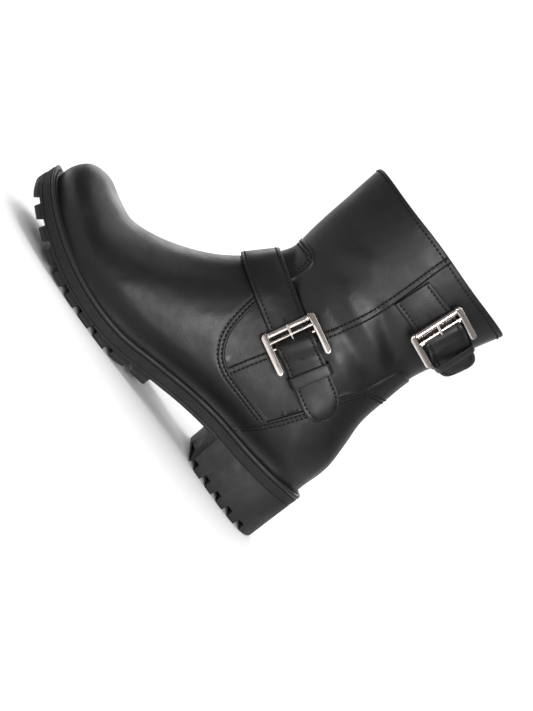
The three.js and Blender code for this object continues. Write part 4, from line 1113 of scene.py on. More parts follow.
class Belt:
    """A plane round the boot: its middle, and its tilt in degrees, up towards the toe."""

    def __init__(self, station, rise, tilt):
        x = station * SOLE_LENGTH
        self.middle = np.array([x, 0, float(seat(x)) + rise * UPPER_HEIGHT])
        a = math.radians(tilt)
        self.forward = np.array([math.cos(a), 0, math.sin(a)])
        self.across = np.array([-math.sin(a), 0, math.cos(a)])

    def direction(self, turn):
        a = math.radians(turn)
        return self.forward * math.cos(a) + np.array([0, math.sin(a), 0])

    def reach(self, turn, shift):
        """Distance from the middle to the leather, or None where there is none."""
        origin = self.middle + self.across * shift
        return round_form.ray_cast(Vector(origin), Vector(self.direction(turn)))[3]

    def point(self, turn, shift):
        reach = self.reach(turn, shift) or NO_LEATHER
        return self.middle + self.across * shift + self.direction(turn) * reach


def node_points(name):
    mesh = frame["nodes"][name].data
    found = np.empty(len(mesh.vertices) * 3)
    mesh.vertices.foreach_get("co", found)
    return found.reshape(-1, 3) / MM - SHIFT


class Axes:
    """Local axes of a buckle: x from its roller to the arm ends, y across the strap, z outwards."""

    def __init__(self, origin, x, y, z):
        self.origin, self.turned = origin, np.stack([x, y, z], axis=1)

    def out(self, points):
        return self.origin + np.asarray(points, float) @ self.turned.T

    def local(self, points):
        return (np.asarray(points, float) - self.origin) @ self.turned


def buckle_axes(name, towards, across):
    """Axes of a CAD buckle, with its origin at the outer face of the roller end."""
    roller = node_points(name + "_roller")
    y = np.linalg.svd(roller - roller.mean(0))[2][0]
    y = y * np.sign(y @ across)
    frame_points = node_points(name + "_frame")
    sideways = (frame_points - roller.mean(0)) @ y
    arms = frame_points[np.abs(sideways) > BUCKLE_INNER[name] + 1.3]
    z = np.linalg.svd(arms - arms.mean(0))[2][2]
    z = unit(z - y * (z @ y))
    z = z * np.sign(z @ (arms.mean(0) - [arms.mean(0)[0], 0, arms.mean(0)[2]]))
    x = np.cross(y, z)
    x = x * np.sign(x @ towards)
    z = np.cross(x, y)
    start = ((arms - roller.mean(0)) @ x).min()
    level = (arms - roller.mean(0)) @ z
    origin = roller.mean(0) + x * start + z * (level.max() + level.min()) / 2
    return Axes(origin, x, y, z)


# %% Belts and buckle places
STRAP_THICKNESS, BILLET_THICKNESS, STAND_OFF, LAYER_GAP = 2.0, 1.6, 0.6, 0.4
KEEPER_WIDTH, KEEPER_THICKNESS = 8.0, 1.3
BUCKLE_LENGTH, BUCKLE_SIDE, BUCKLE_THICKNESS, BUCKLE_SLACK = 29.0, 4.4, 2.6, 1.8
ROLLER_X, ROLLER_RADIUS, BAR_RADIUS, HINGE_RADIUS, PRONG_RADIUS = 2.4, 1.9, 0.7, 1.0, 0.9
THIN_BAR_X, HINGE_X, HINGE_LEVEL = 7.4, 11.6, -1.5
FOLD_RADIUS = HINGE_RADIUS + GAP + 0.8
instep = {
    "name": "instep", "belt": Belt(0.359, 0.385, 14), "width": 25.4, "start": -132, "roller": 84,
    "arms": 116, "keeper": 127, "end": 147, "tip": 12, "tip_lift": 0, "billet_end": 141,
    "shift": [[-132, -0.14], [-70, 0.02], [0, 0.12], [84, 0.14], [120, 0.22], [151, 0.28]],
    "holes": (108.5, 82.5), "scan": 60, "keeper_reach": -2.0,
    "billet_shift": lambda turn: 0.24,
}
ankle = {
    "name": "ankle", "belt": Belt(0.302, 0.83, 0), "width": 26.0, "start": 99, "roller": 126,
    "arms": 155, "keeper": 158, "end": 175, "tip": 10, "tip_lift": 6, "billet_end": 236,
    "shift": [[99, 0.02], [126, 0.08], [140, 0.08], [173, -0.02]],
    "holes": (59.5, 34.5), "scan": 100, "keeper_reach": -0.2,
    "billet_shift": lambda turn: 0.05 - 0.23 * float(ease(150, 200, turn)),
}
BUCKLE_INNER = {s["name"]: s["width"] / 2 + BUCKLE_SLACK for s in (instep, ankle)}


def straight(table, value):
    return float(np.interp(value, *np.transpose(table)))


def eased(table, value):
    """Value of a table of turn and level, with a soft start and end between rows."""
    keys = [r[0] for r in table]
    if value <= keys[0]:
        return table[0][1]
    if value >= keys[-1]:
        return table[-1][1]
    i = int(np.searchsorted(keys, value, side="right")) - 1
    return table[i][1] + (table[i + 1][1] - table[i][1]) * float(ease(keys[i], keys[i + 1], value))


for strap in (instep, ankle):
    belt = strap["belt"]
    strap["foot"] = lambda turn, b=belt, s=strap: b.point(turn, straight(s["shift"], turn) * s["width"])
    towards = strap["foot"](strap["arms"]) - strap["foot"](strap["roller"])
    strap["axes"] = buckle_axes(strap["name"], towards, belt.across)
    roller = strap["axes"].local(node_points(strap["name"] + "_roller").mean(0))
    print(strap["name"], "roller in its buckle's axes:", roller.round(2))


def turn_at(strap, x):
    """Turn at which the middle of the strap passes a distance along its buckle."""
    low, high = strap["roller"] - 20, strap["arms"] + 20
    for _ in range(30):
        middle = (low + high) / 2
        if strap["axes"].local(strap["foot"](middle))[0] < x:
            low = middle
        else:
            high = middle
    return (low + high) / 2

# %% [markdown]
# ## Straps
# A strap is two layers of leather glued and sewn round the edge, then cut and painted, so its edges
# are rounded and a stitch row runs near each of them. It bridges small hollows of the leather under
# it. The section below has rounded edges and two sunk stitch lines, and is swept along the belt.

# %% Lay the straps
EDGE_ROW, TURN_STEP = 2.6, 1.4


def strap_section(half, thickness):
    """Half widths and levels round a strap's section; levels are from its underside."""
    r = min(0.55, half * 0.5)
    side = [(half - 0.35, 0.0), (half, 0.4), (half, thickness - r),
            (half - 0.3 * r, thickness - 0.3 * r), (half - r, thickness)]
    if half > EDGE_ROW + 1.4:
        sewn = half - EDGE_ROW
        side += [(sewn + 0.7, thickness + 0.04), (sewn, thickness - 0.2), (sewn - 0.7, thickness + 0.04)]
    else:
        side += [(half * 0.7, thickness + 0.02), (half * 0.5, thickness + 0.03),
                 (half * 0.4, thickness + 0.04)]
    side += [(half * 0.35, thickness + 0.06), (0.0, thickness + 0.08)]
    return np.array(side + [(-a, b) for a, b in reversed(side[:-1])])


def windows(values, half):
    """The values beside each place of a row, as shifted rows."""
    padded = np.pad(values, half, mode="edge")
    return [padded[i:i + len(values)] for i in range(2 * half + 1)]


def bridged(turns, reach):
    """Reach of the leather with its hollows bridged and its steps made soft."""
    good = ~np.isnan(reach)
    reach = np.max(windows(np.interp(turns, turns[good], reach[good]), 3), axis=0)
    for _ in range(3):
        reach = np.mean(windows(reach, 2), axis=0)
    return reach


def lay_strap(belt, levels, shifts, width, thickness, tip_turn=0, slant=None):
    """Points and faces of a strap, and a function for points on it. A slant gives the turn of one
    end for an offset across, so that the end can follow a seam."""
    first, last = levels[0][0], levels[-1][0]
    plain_end = last - tip_turn
    count = max(int((plain_end - first) / TURN_STEP), 2)
    stations = [(turn, 1.0) for turn in np.linspace(first, plain_end, count)]
    if tip_turn:
        stations += [(plain_end + tip_turn * math.sin(a), math.cos(a))
                     for a in np.radians(np.linspace(8, 88, 13))]
    parts = np.array([-0.5, -0.25, 0, 0.25, 0.5])
    coarse = np.arange(first, last + 1.5, 1.5)
    sides = []
    for turn in coarse:
        shift = straight(shifts, turn) * width
        hits = np.array([belt.reach(turn, shift + q * width) or np.nan for q in parts])
        lift = np.nanmax(np.append(hits - hits[0] - (hits[4] - hits[0]) * (parts + 0.5), 0))
        sides.append([hits[0] + lift, hits[4] + lift])
    sides = [bridged(coarse, side) for side in np.transpose(sides)]

    def place(turn, offset, level):
        if slant is not None:
            end, end_turn = slant
            turn = turn + (end_turn(offset) - end) * max(0, 1 - abs(turn - end) / 16)
        shift = straight(shifts, turn) * width
        low, high = (np.interp(turn, coarse, side) for side in sides)
        reach = low + (high - low) * (0.5 + offset / width) + eased(levels, turn) + level
        return belt.middle + belt.across * (shift + offset) + belt.direction(turn) * reach

    rings = [[place(turn, a, b) for a, b in strap_section(width / 2 * share, thickness)]
             for turn, share in stations]
    return *swept(rings), place


def strap_levels(strap):
    """Rows of turn and level for a strap and its billet, from the leather up."""
    axes, width = strap["axes"], strap["width"]
    on_leather = [[strap["start"], 0], [strap["end"], 0]]
    flat_strap = lay_strap(strap["belt"], on_leather, strap["shift"], width, STRAP_THICKNESS)[2]

    under = axes.local(flat_strap(turn_at(strap, HINGE_X), 0, 0))[2]
    over_hinge = HINGE_LEVEL + FOLD_RADIUS + GAP - under
    over_billet = STAND_OFF + BILLET_THICKNESS + LAYER_GAP
    strap["levels"] = [
        [strap["start"], STAND_OFF], [turn_at(strap, THIN_BAR_X - 2), STAND_OFF],
        [turn_at(strap, HINGE_X - 1), over_hinge], [turn_at(strap, HINGE_X + 1.5), over_hinge],
        [turn_at(strap, HINGE_X + 12), over_billet], [strap["keeper"] + 4, over_billet],
        [strap["end"], over_billet + strap["tip_lift"]],
    ]
    turns = np.linspace(strap["roller"], strap["billet_end"], 60)
    billet_shift = [[t, strap["billet_shift"](t)] for t in turns]
    on_leather = [[strap["roller"], 0], [strap["billet_end"], 0]]
    flat_billet = lay_strap(strap["belt"], on_leather, billet_shift, width - 2, BILLET_THICKNESS)[2]
    fold = HINGE_LEVEL - axes.local(flat_billet(turn_at(strap, HINGE_X), 0, BILLET_THICKNESS / 2))[2]
    strap["billet_shifts"] = billet_shift
    strap["billet_levels"] = [
        [turn_at(strap, HINGE_X - 0.4), fold], [turn_at(strap, HINGE_X + 2.5), fold],
        [turn_at(strap, HINGE_X + 9), STAND_OFF], [strap["billet_end"], STAND_OFF],
    ]
    print(strap["name"], "levels:", [[round(float(v), 1) for v in r] for r in strap["levels"]])


for strap in (instep, ankle):
    strap_levels(strap)


# %% Straps and billets that end at the zip
def zip_turn(belt, shift_at, width, low, high, side):
    """Turn at which a belt reaches the edge of the zip, for an offset across."""
    turns = np.linspace(low, high, 60)

    def found(offset):
        points = np.array([belt.point(turn, shift_at(turn) * width + offset) for turn in turns])
        off = zip_guide.measure(points, within=40.0)[0] * side * ZIP_SIGN
        good = np.abs(off) < 900
        order = np.argsort(off[good])
        return float(np.interp(ZIP_OPEN + 2.2, off[good][order], turns[good][order]))
    return found


ahead_of_zip = form_point(*offset_places(zip_guide, 5.0).T)[:, 0] > form_point(*zip_line.T)[:, 0]
ZIP_SIGN = 1 if ahead_of_zip.mean() > 0.5 else -1


def sampled(turn_of, half):
    """A quick reading of a slow function of the offset."""
    offsets = np.linspace(-half, half, 7)
    values = [turn_of(o) for o in offsets]
    return lambda offset: float(np.interp(offset, offsets, values))


def edge_rows(place, turns, half, thickness, tip=None):
    """Stitches along both edges of a strap, led round its tip."""
    offset = half - EDGE_ROW
    paths = [[(t, offset) for t in turns], [(t, -offset) for t in turns]]
    if tip:
        plain_end, tip_turn, inset = tip
        bend = [(plain_end + (tip_turn - inset) * math.sin(a), offset * math.cos(a))
                for a in np.linspace(0.05, math.pi - 0.05, 40)]
        paths = [paths[0] + bend + paths[1][::-1]]
    parts = []
    for line in paths:
        points = np.array([place(t, o, thickness - 0.2) for t, o in line])
        out = np.array([place(t, o, thickness + 1.0) for t, o in line]) - points
        parts += stitches(points, unit(out))
    return parts


def bake(obj):
    """Makes the result of an object's modifier its own mesh."""
    done = bpy.data.meshes.new_from_object(obj.evaluated_get(bpy.context.evaluated_depsgraph_get()))
    obj.modifiers.clear()
    obj.data = done


def cut(obj, cutters):
    """Cuts closed meshes out of an object."""
    for points, faces in cutters:
        tool = new_object("cutter", new_mesh("cutter", (np.asarray(points) + SHIFT) * MM, faces))
        change = obj.modifiers.new("cut", "BOOLEAN")
        change.operation, change.object, change.solver = "DIFFERENCE", tool, "MANIFOLD"
        bake(obj)
        bpy.data.objects.remove(tool)
    shade(obj.data, 50)


HOLE_RADIUS = 1.7
for strap in (instep, ankle):
    name, belt, axes, width = strap["name"], strap["belt"], strap["axes"], strap["width"]
    half, slant = width / 2, None
    if name == "instep":
        ends = sampled(zip_turn(belt, lambda t: straight(strap["shift"], t), width, -150, -95, 1), half)
        strap["levels"][0][0] = ends(0)
        slant = (ends(0), ends)
    points, faces, place = lay_strap(belt, strap["levels"], strap["shift"], width, STRAP_THICKNESS,
                                     strap["tip"], slant)
    obj = make(name + "_strap_leather", points, faces, STRAP_LEATHER, "strap_leather", name + "_strap",
               creased=50)
    print(name, "strap starts at turn", round(strap["levels"][0][0], 1))
    plain_end = strap["end"] - strap["tip"]
    turns = np.arange(strap["levels"][0][0] + 1, plain_end, 1.5)
    inset = math.degrees(EDGE_ROW / np.linalg.norm(place(plain_end, 0, 0) - belt.middle))
    thread = edge_rows(place, turns, half, STRAP_THICKNESS, (plain_end, strap["tip"], inset))
    holes = []
    scan = np.linspace(strap["scan"], plain_end, 200)
    for x in strap["holes"]:
        turn = float(np.interp(-x, [-place(t, 0, 2)[0] for t in scan], scan))
        middle, out = place(turn, 0, STRAP_THICKNESS), belt.direction(turn)
        holes.append(tube([middle - out * 1.5, middle + out * 2.0], HOLE_RADIUS, 20))
    cut(obj, holes)
    strap["place"] = place
    slant = None
    if name == "ankle":
        ends = sampled(zip_turn(belt, strap["billet_shift"], width - 2, 200, 262, -1), half)
        strap["billet_levels"][-1][0] = ends(0)
        slant = (ends(0), ends)
        print("ankle billet ends at turn", round(ends(0), 1))
    points, faces, place = lay_strap(belt, strap["billet_levels"], strap["billet_shifts"], width - 2,
                                     BILLET_THICKNESS, slant=slant)
    folds = [tube(axes.out([(HINGE_X, y, HINGE_LEVEL) for y in sides]), FOLD_RADIUS, 20)
             for sides in ((1 - half, -1.3), (1.3, half - 1))]
    make(name + "_billet_leather", *join([(points, faces)] + folds), STRAP_LEATHER, "strap_leather",
         name + "_billet", creased=50)
    first = strap["keeper"] + 6 if name == "ankle" else strap["billet_levels"][2][0]
    turns = np.arange(first, strap["billet_levels"][-1][0] - 1, 1.5)
    if len(turns) > 3:
        thread += edge_rows(place, turns, half - 1, BILLET_THICKNESS)
    make(name + "_strap_stitches", *join(thread), THREAD, "strap_leather")

# %% [markdown]
# ## Buckles and keepers
# The buckle is a cast U whose two arms are flat with rounded edges. A roller turns on its front bar, a
# thin bar lies behind it, and the prong swings on the hinge bar that the billet is folded round. The
# keeper is a narrow leather loop that holds the strap's tail down.

# %% Buckles and keepers
def rounded_plate(outline, half, radius, steps=5):
    """A flat plate with rounded edges over an outline of x and y."""
    p = np.asarray(outline, float)
    ahead = unit(np.roll(p, -1, axis=0) - np.roll(p, 1, axis=0))
    inward = np.stack([-ahead[:, 1], ahead[:, 0]], axis=1) * np.sign(area_of(p))
    rings = []
    for a in np.concatenate([-np.linspace(90, 0, steps), np.linspace(0, 90, steps)]):
        t = math.radians(a)
        ring = p + inward * radius * (1 - math.cos(t))
        level = math.copysign(half - radius, a if a else 1) + radius * math.sin(t)
        rings.append(np.column_stack([ring, np.full(len(p), level)]))
    return swept(rings)


def arc(cx, cy, r, start, end, count=9):
    turns = np.radians(np.linspace(start, end, count))
    return [(cx + r * math.cos(a), cy + r * math.sin(a)) for a in turns]


def four_corners(top, low):
    """Outline with rounded corners, from x, y, radius and count of its two right-hand arcs."""
    (x, y, r, n), (x2, y2, r2, n2) = top, low
    return (arc(x, y, r, 0, 90, n) + arc(-x, y, r, 90, 180, n)
            + arc(-x2, y2, r2, 180, 270, n2) + arc(x2, y2, r2, 270, 360, n2))


for strap in (instep, ankle):
    name, axes, width = strap["name"], strap["axes"], strap["width"]
    inner = width / 2 + BUCKLE_SLACK
    outer = inner + BUCKLE_SIDE
    tip, corner = BUCKLE_SIDE / 2, BUCKLE_SIDE * 0.7
    outline = [(0, inner + s) for s in np.linspace(0, outer - corner - inner, 4)[:-1]]
    outline += arc(corner, outer - corner, corner, 180, 90) + [(12.0, outer), (18.0, outer), (22.0, outer)]
    outline += arc(BUCKLE_LENGTH - tip, outer - tip, tip, 90, -90, 13) + [(18.0, inner), (9.0, inner)]
    parts = []
    for side in (1, -1):
        points, faces = rounded_plate([(x, side * y) for x, y in outline], BUCKLE_THICKNESS / 2, 0.85)
        parts.append((axes.out(points), faces if side < 0 else [f[::-1] for f in faces]))
    strap_top = [axes.local(strap["place"](turn_at(strap, x), y, STRAP_THICKNESS + 0.1))[2]
                 for x in (THIN_BAR_X - 0.7, THIN_BAR_X, THIN_BAR_X + 0.7) for y in np.linspace(-12, 12, 7)]
    thin = max(strap_top) + GAP + BAR_RADIUS
    for x, level, radius in ((ROLLER_X, 0, 1.0), (THIN_BAR_X, thin, BAR_RADIUS + 0.2),
                             (HINGE_X, HINGE_LEVEL, HINGE_RADIUS)):
        bar = [(x, y, level) for y in np.linspace(-inner - 0.6, inner + 0.6, 5)]
        parts.append(tube(axes.out(bar), radius, 18))
    make(name + "_buckle", *join(parts), NICKEL, "buckle_metal", name + "_frame", creased=40)
    end = inner - GAP
    stations = np.concatenate([[-end, -end + 0.12, -end + 0.4], np.linspace(-end + 1, end - 1, 7),
                               [end - 0.4, end - 0.12, end]])
    radii = ROLLER_RADIUS + 0.25 - np.array([0.45, 0.15, 0] + [0] * 7 + [0, 0.15, 0.45])
    roller = tube(axes.out([(ROLLER_X, y, 0) for y in stations]), radii, 28)
    make(name + "_buckle_roller", *roller, NICKEL, "buckle_metal", name + "_roller", creased=60)
    over_roller = ROLLER_RADIUS + PRONG_RADIUS
    line = catmull([(HINGE_X - 0.2, 0, HINGE_LEVEL + HINGE_RADIUS + GAP + PRONG_RADIUS / 2),
                    (HINGE_X - 1.6, 0, thin), (THIN_BAR_X, 0, thin + BAR_RADIUS + PRONG_RADIUS + 0.2),
                    (ROLLER_X, 0, over_roller + GAP), (ROLLER_X - 1.8, 0, over_roller + 0.1)], 6)
    radii = np.full(len(line), PRONG_RADIUS)
    radii[-3:] = PRONG_RADIUS * np.array([0.93, 0.75, 0.35])
    eye = axes.out([(HINGE_X, y, HINGE_LEVEL) for y in (-1.2, -0.9, 0.9, 1.2)])
    prong = join([tube(axes.out(line), radii, 14), tube(eye, [1.9, 2.15, 2.15, 1.9], 20)])
    make(name + "_buckle_prong", *prong, NICKEL, "buckle_metal", name + "_prong", creased=60)

    # Keeper: a band swept round the strap
    foot = strap["foot"]
    origin = foot(strap["keeper"])
    x = unit(foot(strap["keeper"] + 6) - origin)
    z = unit(np.cross(x, strap["belt"].across))
    z = z * np.sign(z[1] * origin[1])
    keeper_axes = Axes(origin, x, np.cross(z, x), z)
    tops = []
    for turn in np.linspace(strap["keeper"] - 12, strap["keeper"] + 12, 25):
        for offset in np.linspace(-width / 2, width / 2, 7):
            p = keeper_axes.local(strap["place"](turn, offset, STRAP_THICKNESS))
            if abs(p[0]) < KEEPER_WIDTH / 2:
                tops.append(p[2])
    top = GAP + max(tops)
    side = width / 2 + 0.5
    bend = 1.6
    reach = strap["keeper_reach"]
    path = [(-side, y) for y in np.linspace(reach, top - bend, 4)]
    path += arc(-side + bend, top - bend, bend, 180, 90, 6) + arc(side - bend, top - bend, bend, 90, 0, 6)
    path += [(side, y) for y in np.linspace(top - bend, reach, 4)[1:]]
    path = np.array(path)
    ahead = np.gradient(path, axis=0)
    out = unit(np.stack([-ahead[:, 1], ahead[:, 0]], axis=1))
    w, t = KEEPER_WIDTH / 2, KEEPER_THICKNESS
    right_side = [(w - 0.3, 0), (w, 0.3), (w, t - 0.45), (w - 0.15, t - 0.12), (w - 0.5, t),
                  (w * 0.4, t + 0.05)]
    section = [(-w + 0.3, 0)] + right_side + [(-a, b) for a, b in right_side[:0:-1]]
    rings = [keeper_axes.out([(a, p[0] + o[0] * b, p[1] + o[1] * b) for a, b in section])
             for p, o in zip(path, out)]
    make(name + "_keeper_loop", *swept(rings), STRAP_LEATHER, "strap_leather", name + "_keeper", creased=55)
    print(name, "thin bar level", round(thin, 2), "keeper top", round(top, 2))

# %% [markdown]
# ## The sole
# The sole is moulded rubber in three levels: a welt whose ledge is stitched outside the upper, a band
# with fine ribs, and the lugged outsole with a separate heel block. Each level is lofted through the
# outline at several insets. The gaps between the lugs are cut out of the block, as a mould leaves them.

# %% Lofts over the outline
AROUND_SOLE = 300


def strip_caps(count, base, up):
    """Faces that close a loop by pairing its two sides."""
    faces = [(0, 1, count - 1)]
    for i in range(1, count // 2 - 1):
        faces.append((i, i + 1, count - i - 1, count - i))
    faces.append((count // 2 - 1, count // 2, count // 2 + 1))
    return [tuple(base + k for k in (f if up else f[::-1])) for f in faces]


def sole_loft(rows, closed=True, count=AROUND_SOLE):
    """Points and faces through rows of inset and height, from below upwards."""
    loops = []
    for inset, height in rows:
        loop = outline_loop(inset, 4 * count)[::4]
        loop = np.roll(loop, -int(np.argmin(loop[:, 0])), axis=0)
        loops.append(np.column_stack([loop, height(loop[:, 0])]))
    faces = grid_faces(len(loops), count, closed=True)
    area = area_of(loops[0])
    if area < 0:
        faces = [f[::-1] for f in faces]
    if closed:
        faces += strip_caps(count, 0, area < 0) + strip_caps(count, (len(loops) - 1) * count, area > 0)
    return np.concatenate(loops), faces


def level(surface, more=0.0):
    return lambda x: surface(x) + more


def over(surface, rows):
    """Rows of inset and height over a surface, as a loft wants them."""
    return [(inset, level(surface, more)) for inset, more in rows]


def prism(outline, y0, y1):
    """Solid between two planes of y over an outline of x and z."""
    points, faces = swept([[(x, y, z) for x, z in outline] for y in (y0, y1)])
    return points, (faces if area_of(outline) < 0 else [f[::-1] for f in faces])


# %% Welt, ribbed band and insole
BAND_INSET, RIBS, RIB_DEPTH = 0.5, 5, 0.5
WELT_ROW = 4.3
rows = over(welt_top, [
    (WELT_INSET + 0.5, -WELT_THICKNESS - GAP), (WELT_INSET, -WELT_THICKNESS + 0.2),
    (WELT_INSET - 0.3, -WELT_THICKNESS + 0.7), (WELT_INSET - 0.4, -WELT_THICKNESS / 2),
    (WELT_INSET - 0.35, -0.8), (WELT_INSET - 0.1, -0.3), (WELT_INSET + 0.4, -0.03), (WELT_INSET + 1.0, 0.0),
    (WELT_ROW - 1.1, 0.0), (WELT_ROW - 0.6, -0.25), (WELT_ROW, -0.5), (WELT_ROW + 0.6, -0.25),
    (WELT_ROW + 1.0, 0.05), (UPPER_INSET - 0.9, 0.5)])
rows += over(seat, [(UPPER_INSET - 0.3, -0.3), (UPPER_INSET + 1.5, -0.5)])
welt = make("welt_strip", *sole_loft(rows, closed=False, count=420), WELT_RUBBER, "welt_rubber", "welt")
loop = outline_loop(WELT_ROW, 1600)
loop = np.vstack([loop, loop[:1]])
line = np.column_stack([loop, welt_top(loop[:, 0]) - 0.45])
up = np.tile([0, 0, 1.0], (len(line), 1))
make("welt_stitches", *join(stitches(line, up, WELT_THREAD)), THREAD, "welt_rubber")

RIB = ((0.0, 1.0), (0.12, 0.55), (0.3, 0.1), (0.5, 0.0), (0.7, 0.1), (0.88, 0.55))
rows = [(1.5, -0.1), (0.4, 0.0)]
rows += [(RIB_DEPTH * depth, BAND_DEPTH * (k + share) / RIBS) for k in range(RIBS) for share, depth in RIB]
rows = over(band_under, [(BAND_INSET + inset, height) for inset, height in rows])
rows += over(band_top, [(BAND_INSET + 0.4, 0.0), (BAND_INSET + 1.5, 0.1)])
band = make("ribbed_band", *sole_loft(rows), RUBBER, "midsole_rubber", "midsole")

INSOLE_INSET = UPPER_INSET + WALL + 4.6
rows = over(seat, [(INSOLE_INSET, 0.5), (INSOLE_INSET, 2.5), (INSOLE_INSET + 0.6, 3.1),
                   (INSOLE_INSET + 4, 3.1)])
make("insole_sock", *sole_loft(rows), LINING, "insole_lining", "insole")

# %% Outsole and heel with their lugs
LUG_DEPTH, LUG_PITCH, PITCH_LOSS, LUGS, FIRST_NOTCH = 4.6, 16.6, 0.16, 9, 0.506
NOTCH_WIDTH, NOTCH_FLARE, LUG_LENGTH, CHANNEL = 5.0, 1.4, 19.0, 5.0
WAIST_SKIN, LUG_BACK, FAR = 2.4, 0.455 * SOLE_LENGTH, SOLE_LENGTH / 3
HEEL_LENGTH, BREAST_SLOPE, BREAST_SKEW, HEEL_LUG, HEEL_PITCH, HEEL_LUGS = 75.0, 5.0, 5.0, 5.4, 12.6, 5


outsole_top = level(band_under, -GAP)


def ground(x):
    return 0 * x


def notch(x, tip, depth, slope):
    half = NOTCH_WIDTH / 2
    wide = half + NOTCH_FLARE
    outline = [(-half, depth), (half, depth), (wide, -FAR / 8), (-wide, -FAR / 8)]
    c, s = math.cos(slope), math.sin(slope)
    return prism([(x + a * c - b * s, tip + a * s + b * c) for a, b in outline], -FAR, FAR)


def channel(inset, low, high, x0, x1):
    """A channel along the outline that parts the lugs from the middle, between two stations."""
    loop_out, loop_in = outline_loop(inset, 240), outline_loop(inset + CHANNEL, 240)
    parts = []
    for side in (1, -1):
        chosen = [i for i in range(240) if side * loop_out[i, 1] > 0 and x0 < loop_out[i, 0] < x1]
        chosen.sort(key=lambda i: loop_out[i, 0])
        rings = []
        for i in chosen:
            a, b = loop_out[i], loop_in[i]
            z0, z1 = low(a[0]), high(a[0])
            rings.append([(a[0], a[1], z0), (a[0], a[1], z1), (b[0], b[1], z1), (b[0], b[1], z0)])
        points, faces = swept(rings)
        parts.append((points, faces if side < 0 else [f[::-1] for f in faces]))
    return parts


def breast_block(ahead, shift):
    """Block on one side of the heel's sloped breast."""
    corners, ends = [], []
    for y, z in ((-FAR, -FAR), (-FAR, FAR), (FAR, -FAR), (FAR, FAR)):
        slant = BREAST_SLOPE * (1 - z / HEEL_HEIGHT) + BREAST_SKEW * y / HALF_BALL
        corners.append((HEEL_LENGTH - slant + shift, y, z))
        ends.append((2 * SOLE_LENGTH if ahead else -SOLE_LENGTH, y, z))
    corners += ends
    faces = [(0, 1, 3, 2), (4, 6, 7, 5), (0, 4, 5, 1), (2, 3, 7, 6), (0, 2, 6, 4), (1, 5, 7, 3)]
    return np.array(corners), (faces if ahead else [f[::-1] for f in faces])


def soften(obj, width=0.4):
    """Small round on every sharp edge."""
    change = obj.modifiers.new("soften", "BEVEL")
    change.width, change.segments, change.limit_method = width * MM, 2, "ANGLE"
    change.angle_limit = math.radians(40)
    change.use_clamp_overlap = True
    bake(obj)
    shade(obj.data, 35)


wall = over(lug_tip, [(0.9, 0.0), (0.25, 0.6), (0.0, 1.5)])
for k in range(4):
    for share, inset in ((0.0, 0.0), (0.035, 0.0), (0.07, 0.35), (0.1, 0.35)):
        wall.append((inset, lambda x, s=0.45 + 0.13 * k + share: lug_tip(x) * (1 - s) + outsole_top(x) * s))
wall.append((0.3, outsole_top))
outsole = make("outsole_lugs", *sole_loft(wall), RUBBER, "outsole_rubber", "outsole")
waist_x = np.linspace(HEEL_LENGTH * 0.8, LUG_BACK, 40)
under = [(x, float(outsole_top(x)) - WAIST_SKIN) for x in waist_x]
under += [(LUG_BACK - 1.5, -FAR), (HEEL_LENGTH * 0.8, -FAR)]
cutters = [prism(under, -FAR, FAR), breast_block(False, GAP)]
cutters += channel(LUG_LENGTH, level(lug_tip, -12), level(lug_tip, LUG_DEPTH), LUG_BACK, 255)
for k in range(LUGS):
    x = FIRST_NOTCH * SOLE_LENGTH + LUG_PITCH * k - PITCH_LOSS * k * k
    slope = math.atan2(float(lug_tip(x + 4) - lug_tip(x - 4)), 8)
    cutters.append(notch(x, float(lug_tip(x)), LUG_DEPTH, slope))
cut(outsole, cutters)
soften(outsole)

wall = over(ground, [(-HEEL_FLARE + 1.3, 0.0), (-HEEL_FLARE + 0.4, 0.5), (-HEEL_FLARE, 1.6)])
wall.append((0.4, outsole_top))
heel = make("heel_block", *sole_loft(wall), RUBBER, "heel_rubber", "heel")
cutters = [breast_block(True, 0)]
cutters += channel(LUG_LENGTH - 4, level(ground, -12), level(ground, HEEL_LUG), 14, 90)
for k in range(HEEL_LUGS):
    cutters.append(notch(HEEL_LENGTH - HEEL_PITCH * (k + 0.85), 0, HEEL_LUG, 0))
cut(heel, cutters)
soften(heel)
for obj in (welt, band, outsole, heel):
    print(obj.name, len(obj.data.polygons), "faces")

# %% [markdown]
# ## The zip
# A fine-toothed zip is sewn behind the slit in the inner side. Its tape is woven and its teeth are
# plastic, all in black, and only the slider is bright. The pull hangs from a bridge on the slider.

# %% Tape and teeth
def zip_place(distance, sunk):
    """Points of the zip, at a distance across from its middle line and sunk under the leather."""
    guide_places = offset_places(zip_guide, distance)
    point, normal, _, _ = form_frame(guide_places[:, 0], guide_places[:, 1])
    good = guide_places[:, 0] < collar_at(guide_places[:, 1]) - 0.4 / along_size
    return (point - normal * sunk)[good], normal[good]


across = (-6.6, -5.6, -3.6, -2.2, 0, 2.2, 3.6, 5.6, 6.6)
strips = [zip_place(d, 1.1 + (0.5 if abs(d) > 6 else 0)) for d in across]
shortest = min(len(p) for p, _ in strips)
tape = np.concatenate([p[:shortest] for p, _ in strips])
make("zip_tapes", tape, grid_faces(len(across), shortest), TAPE, "zip_fabric", "zip_tape")

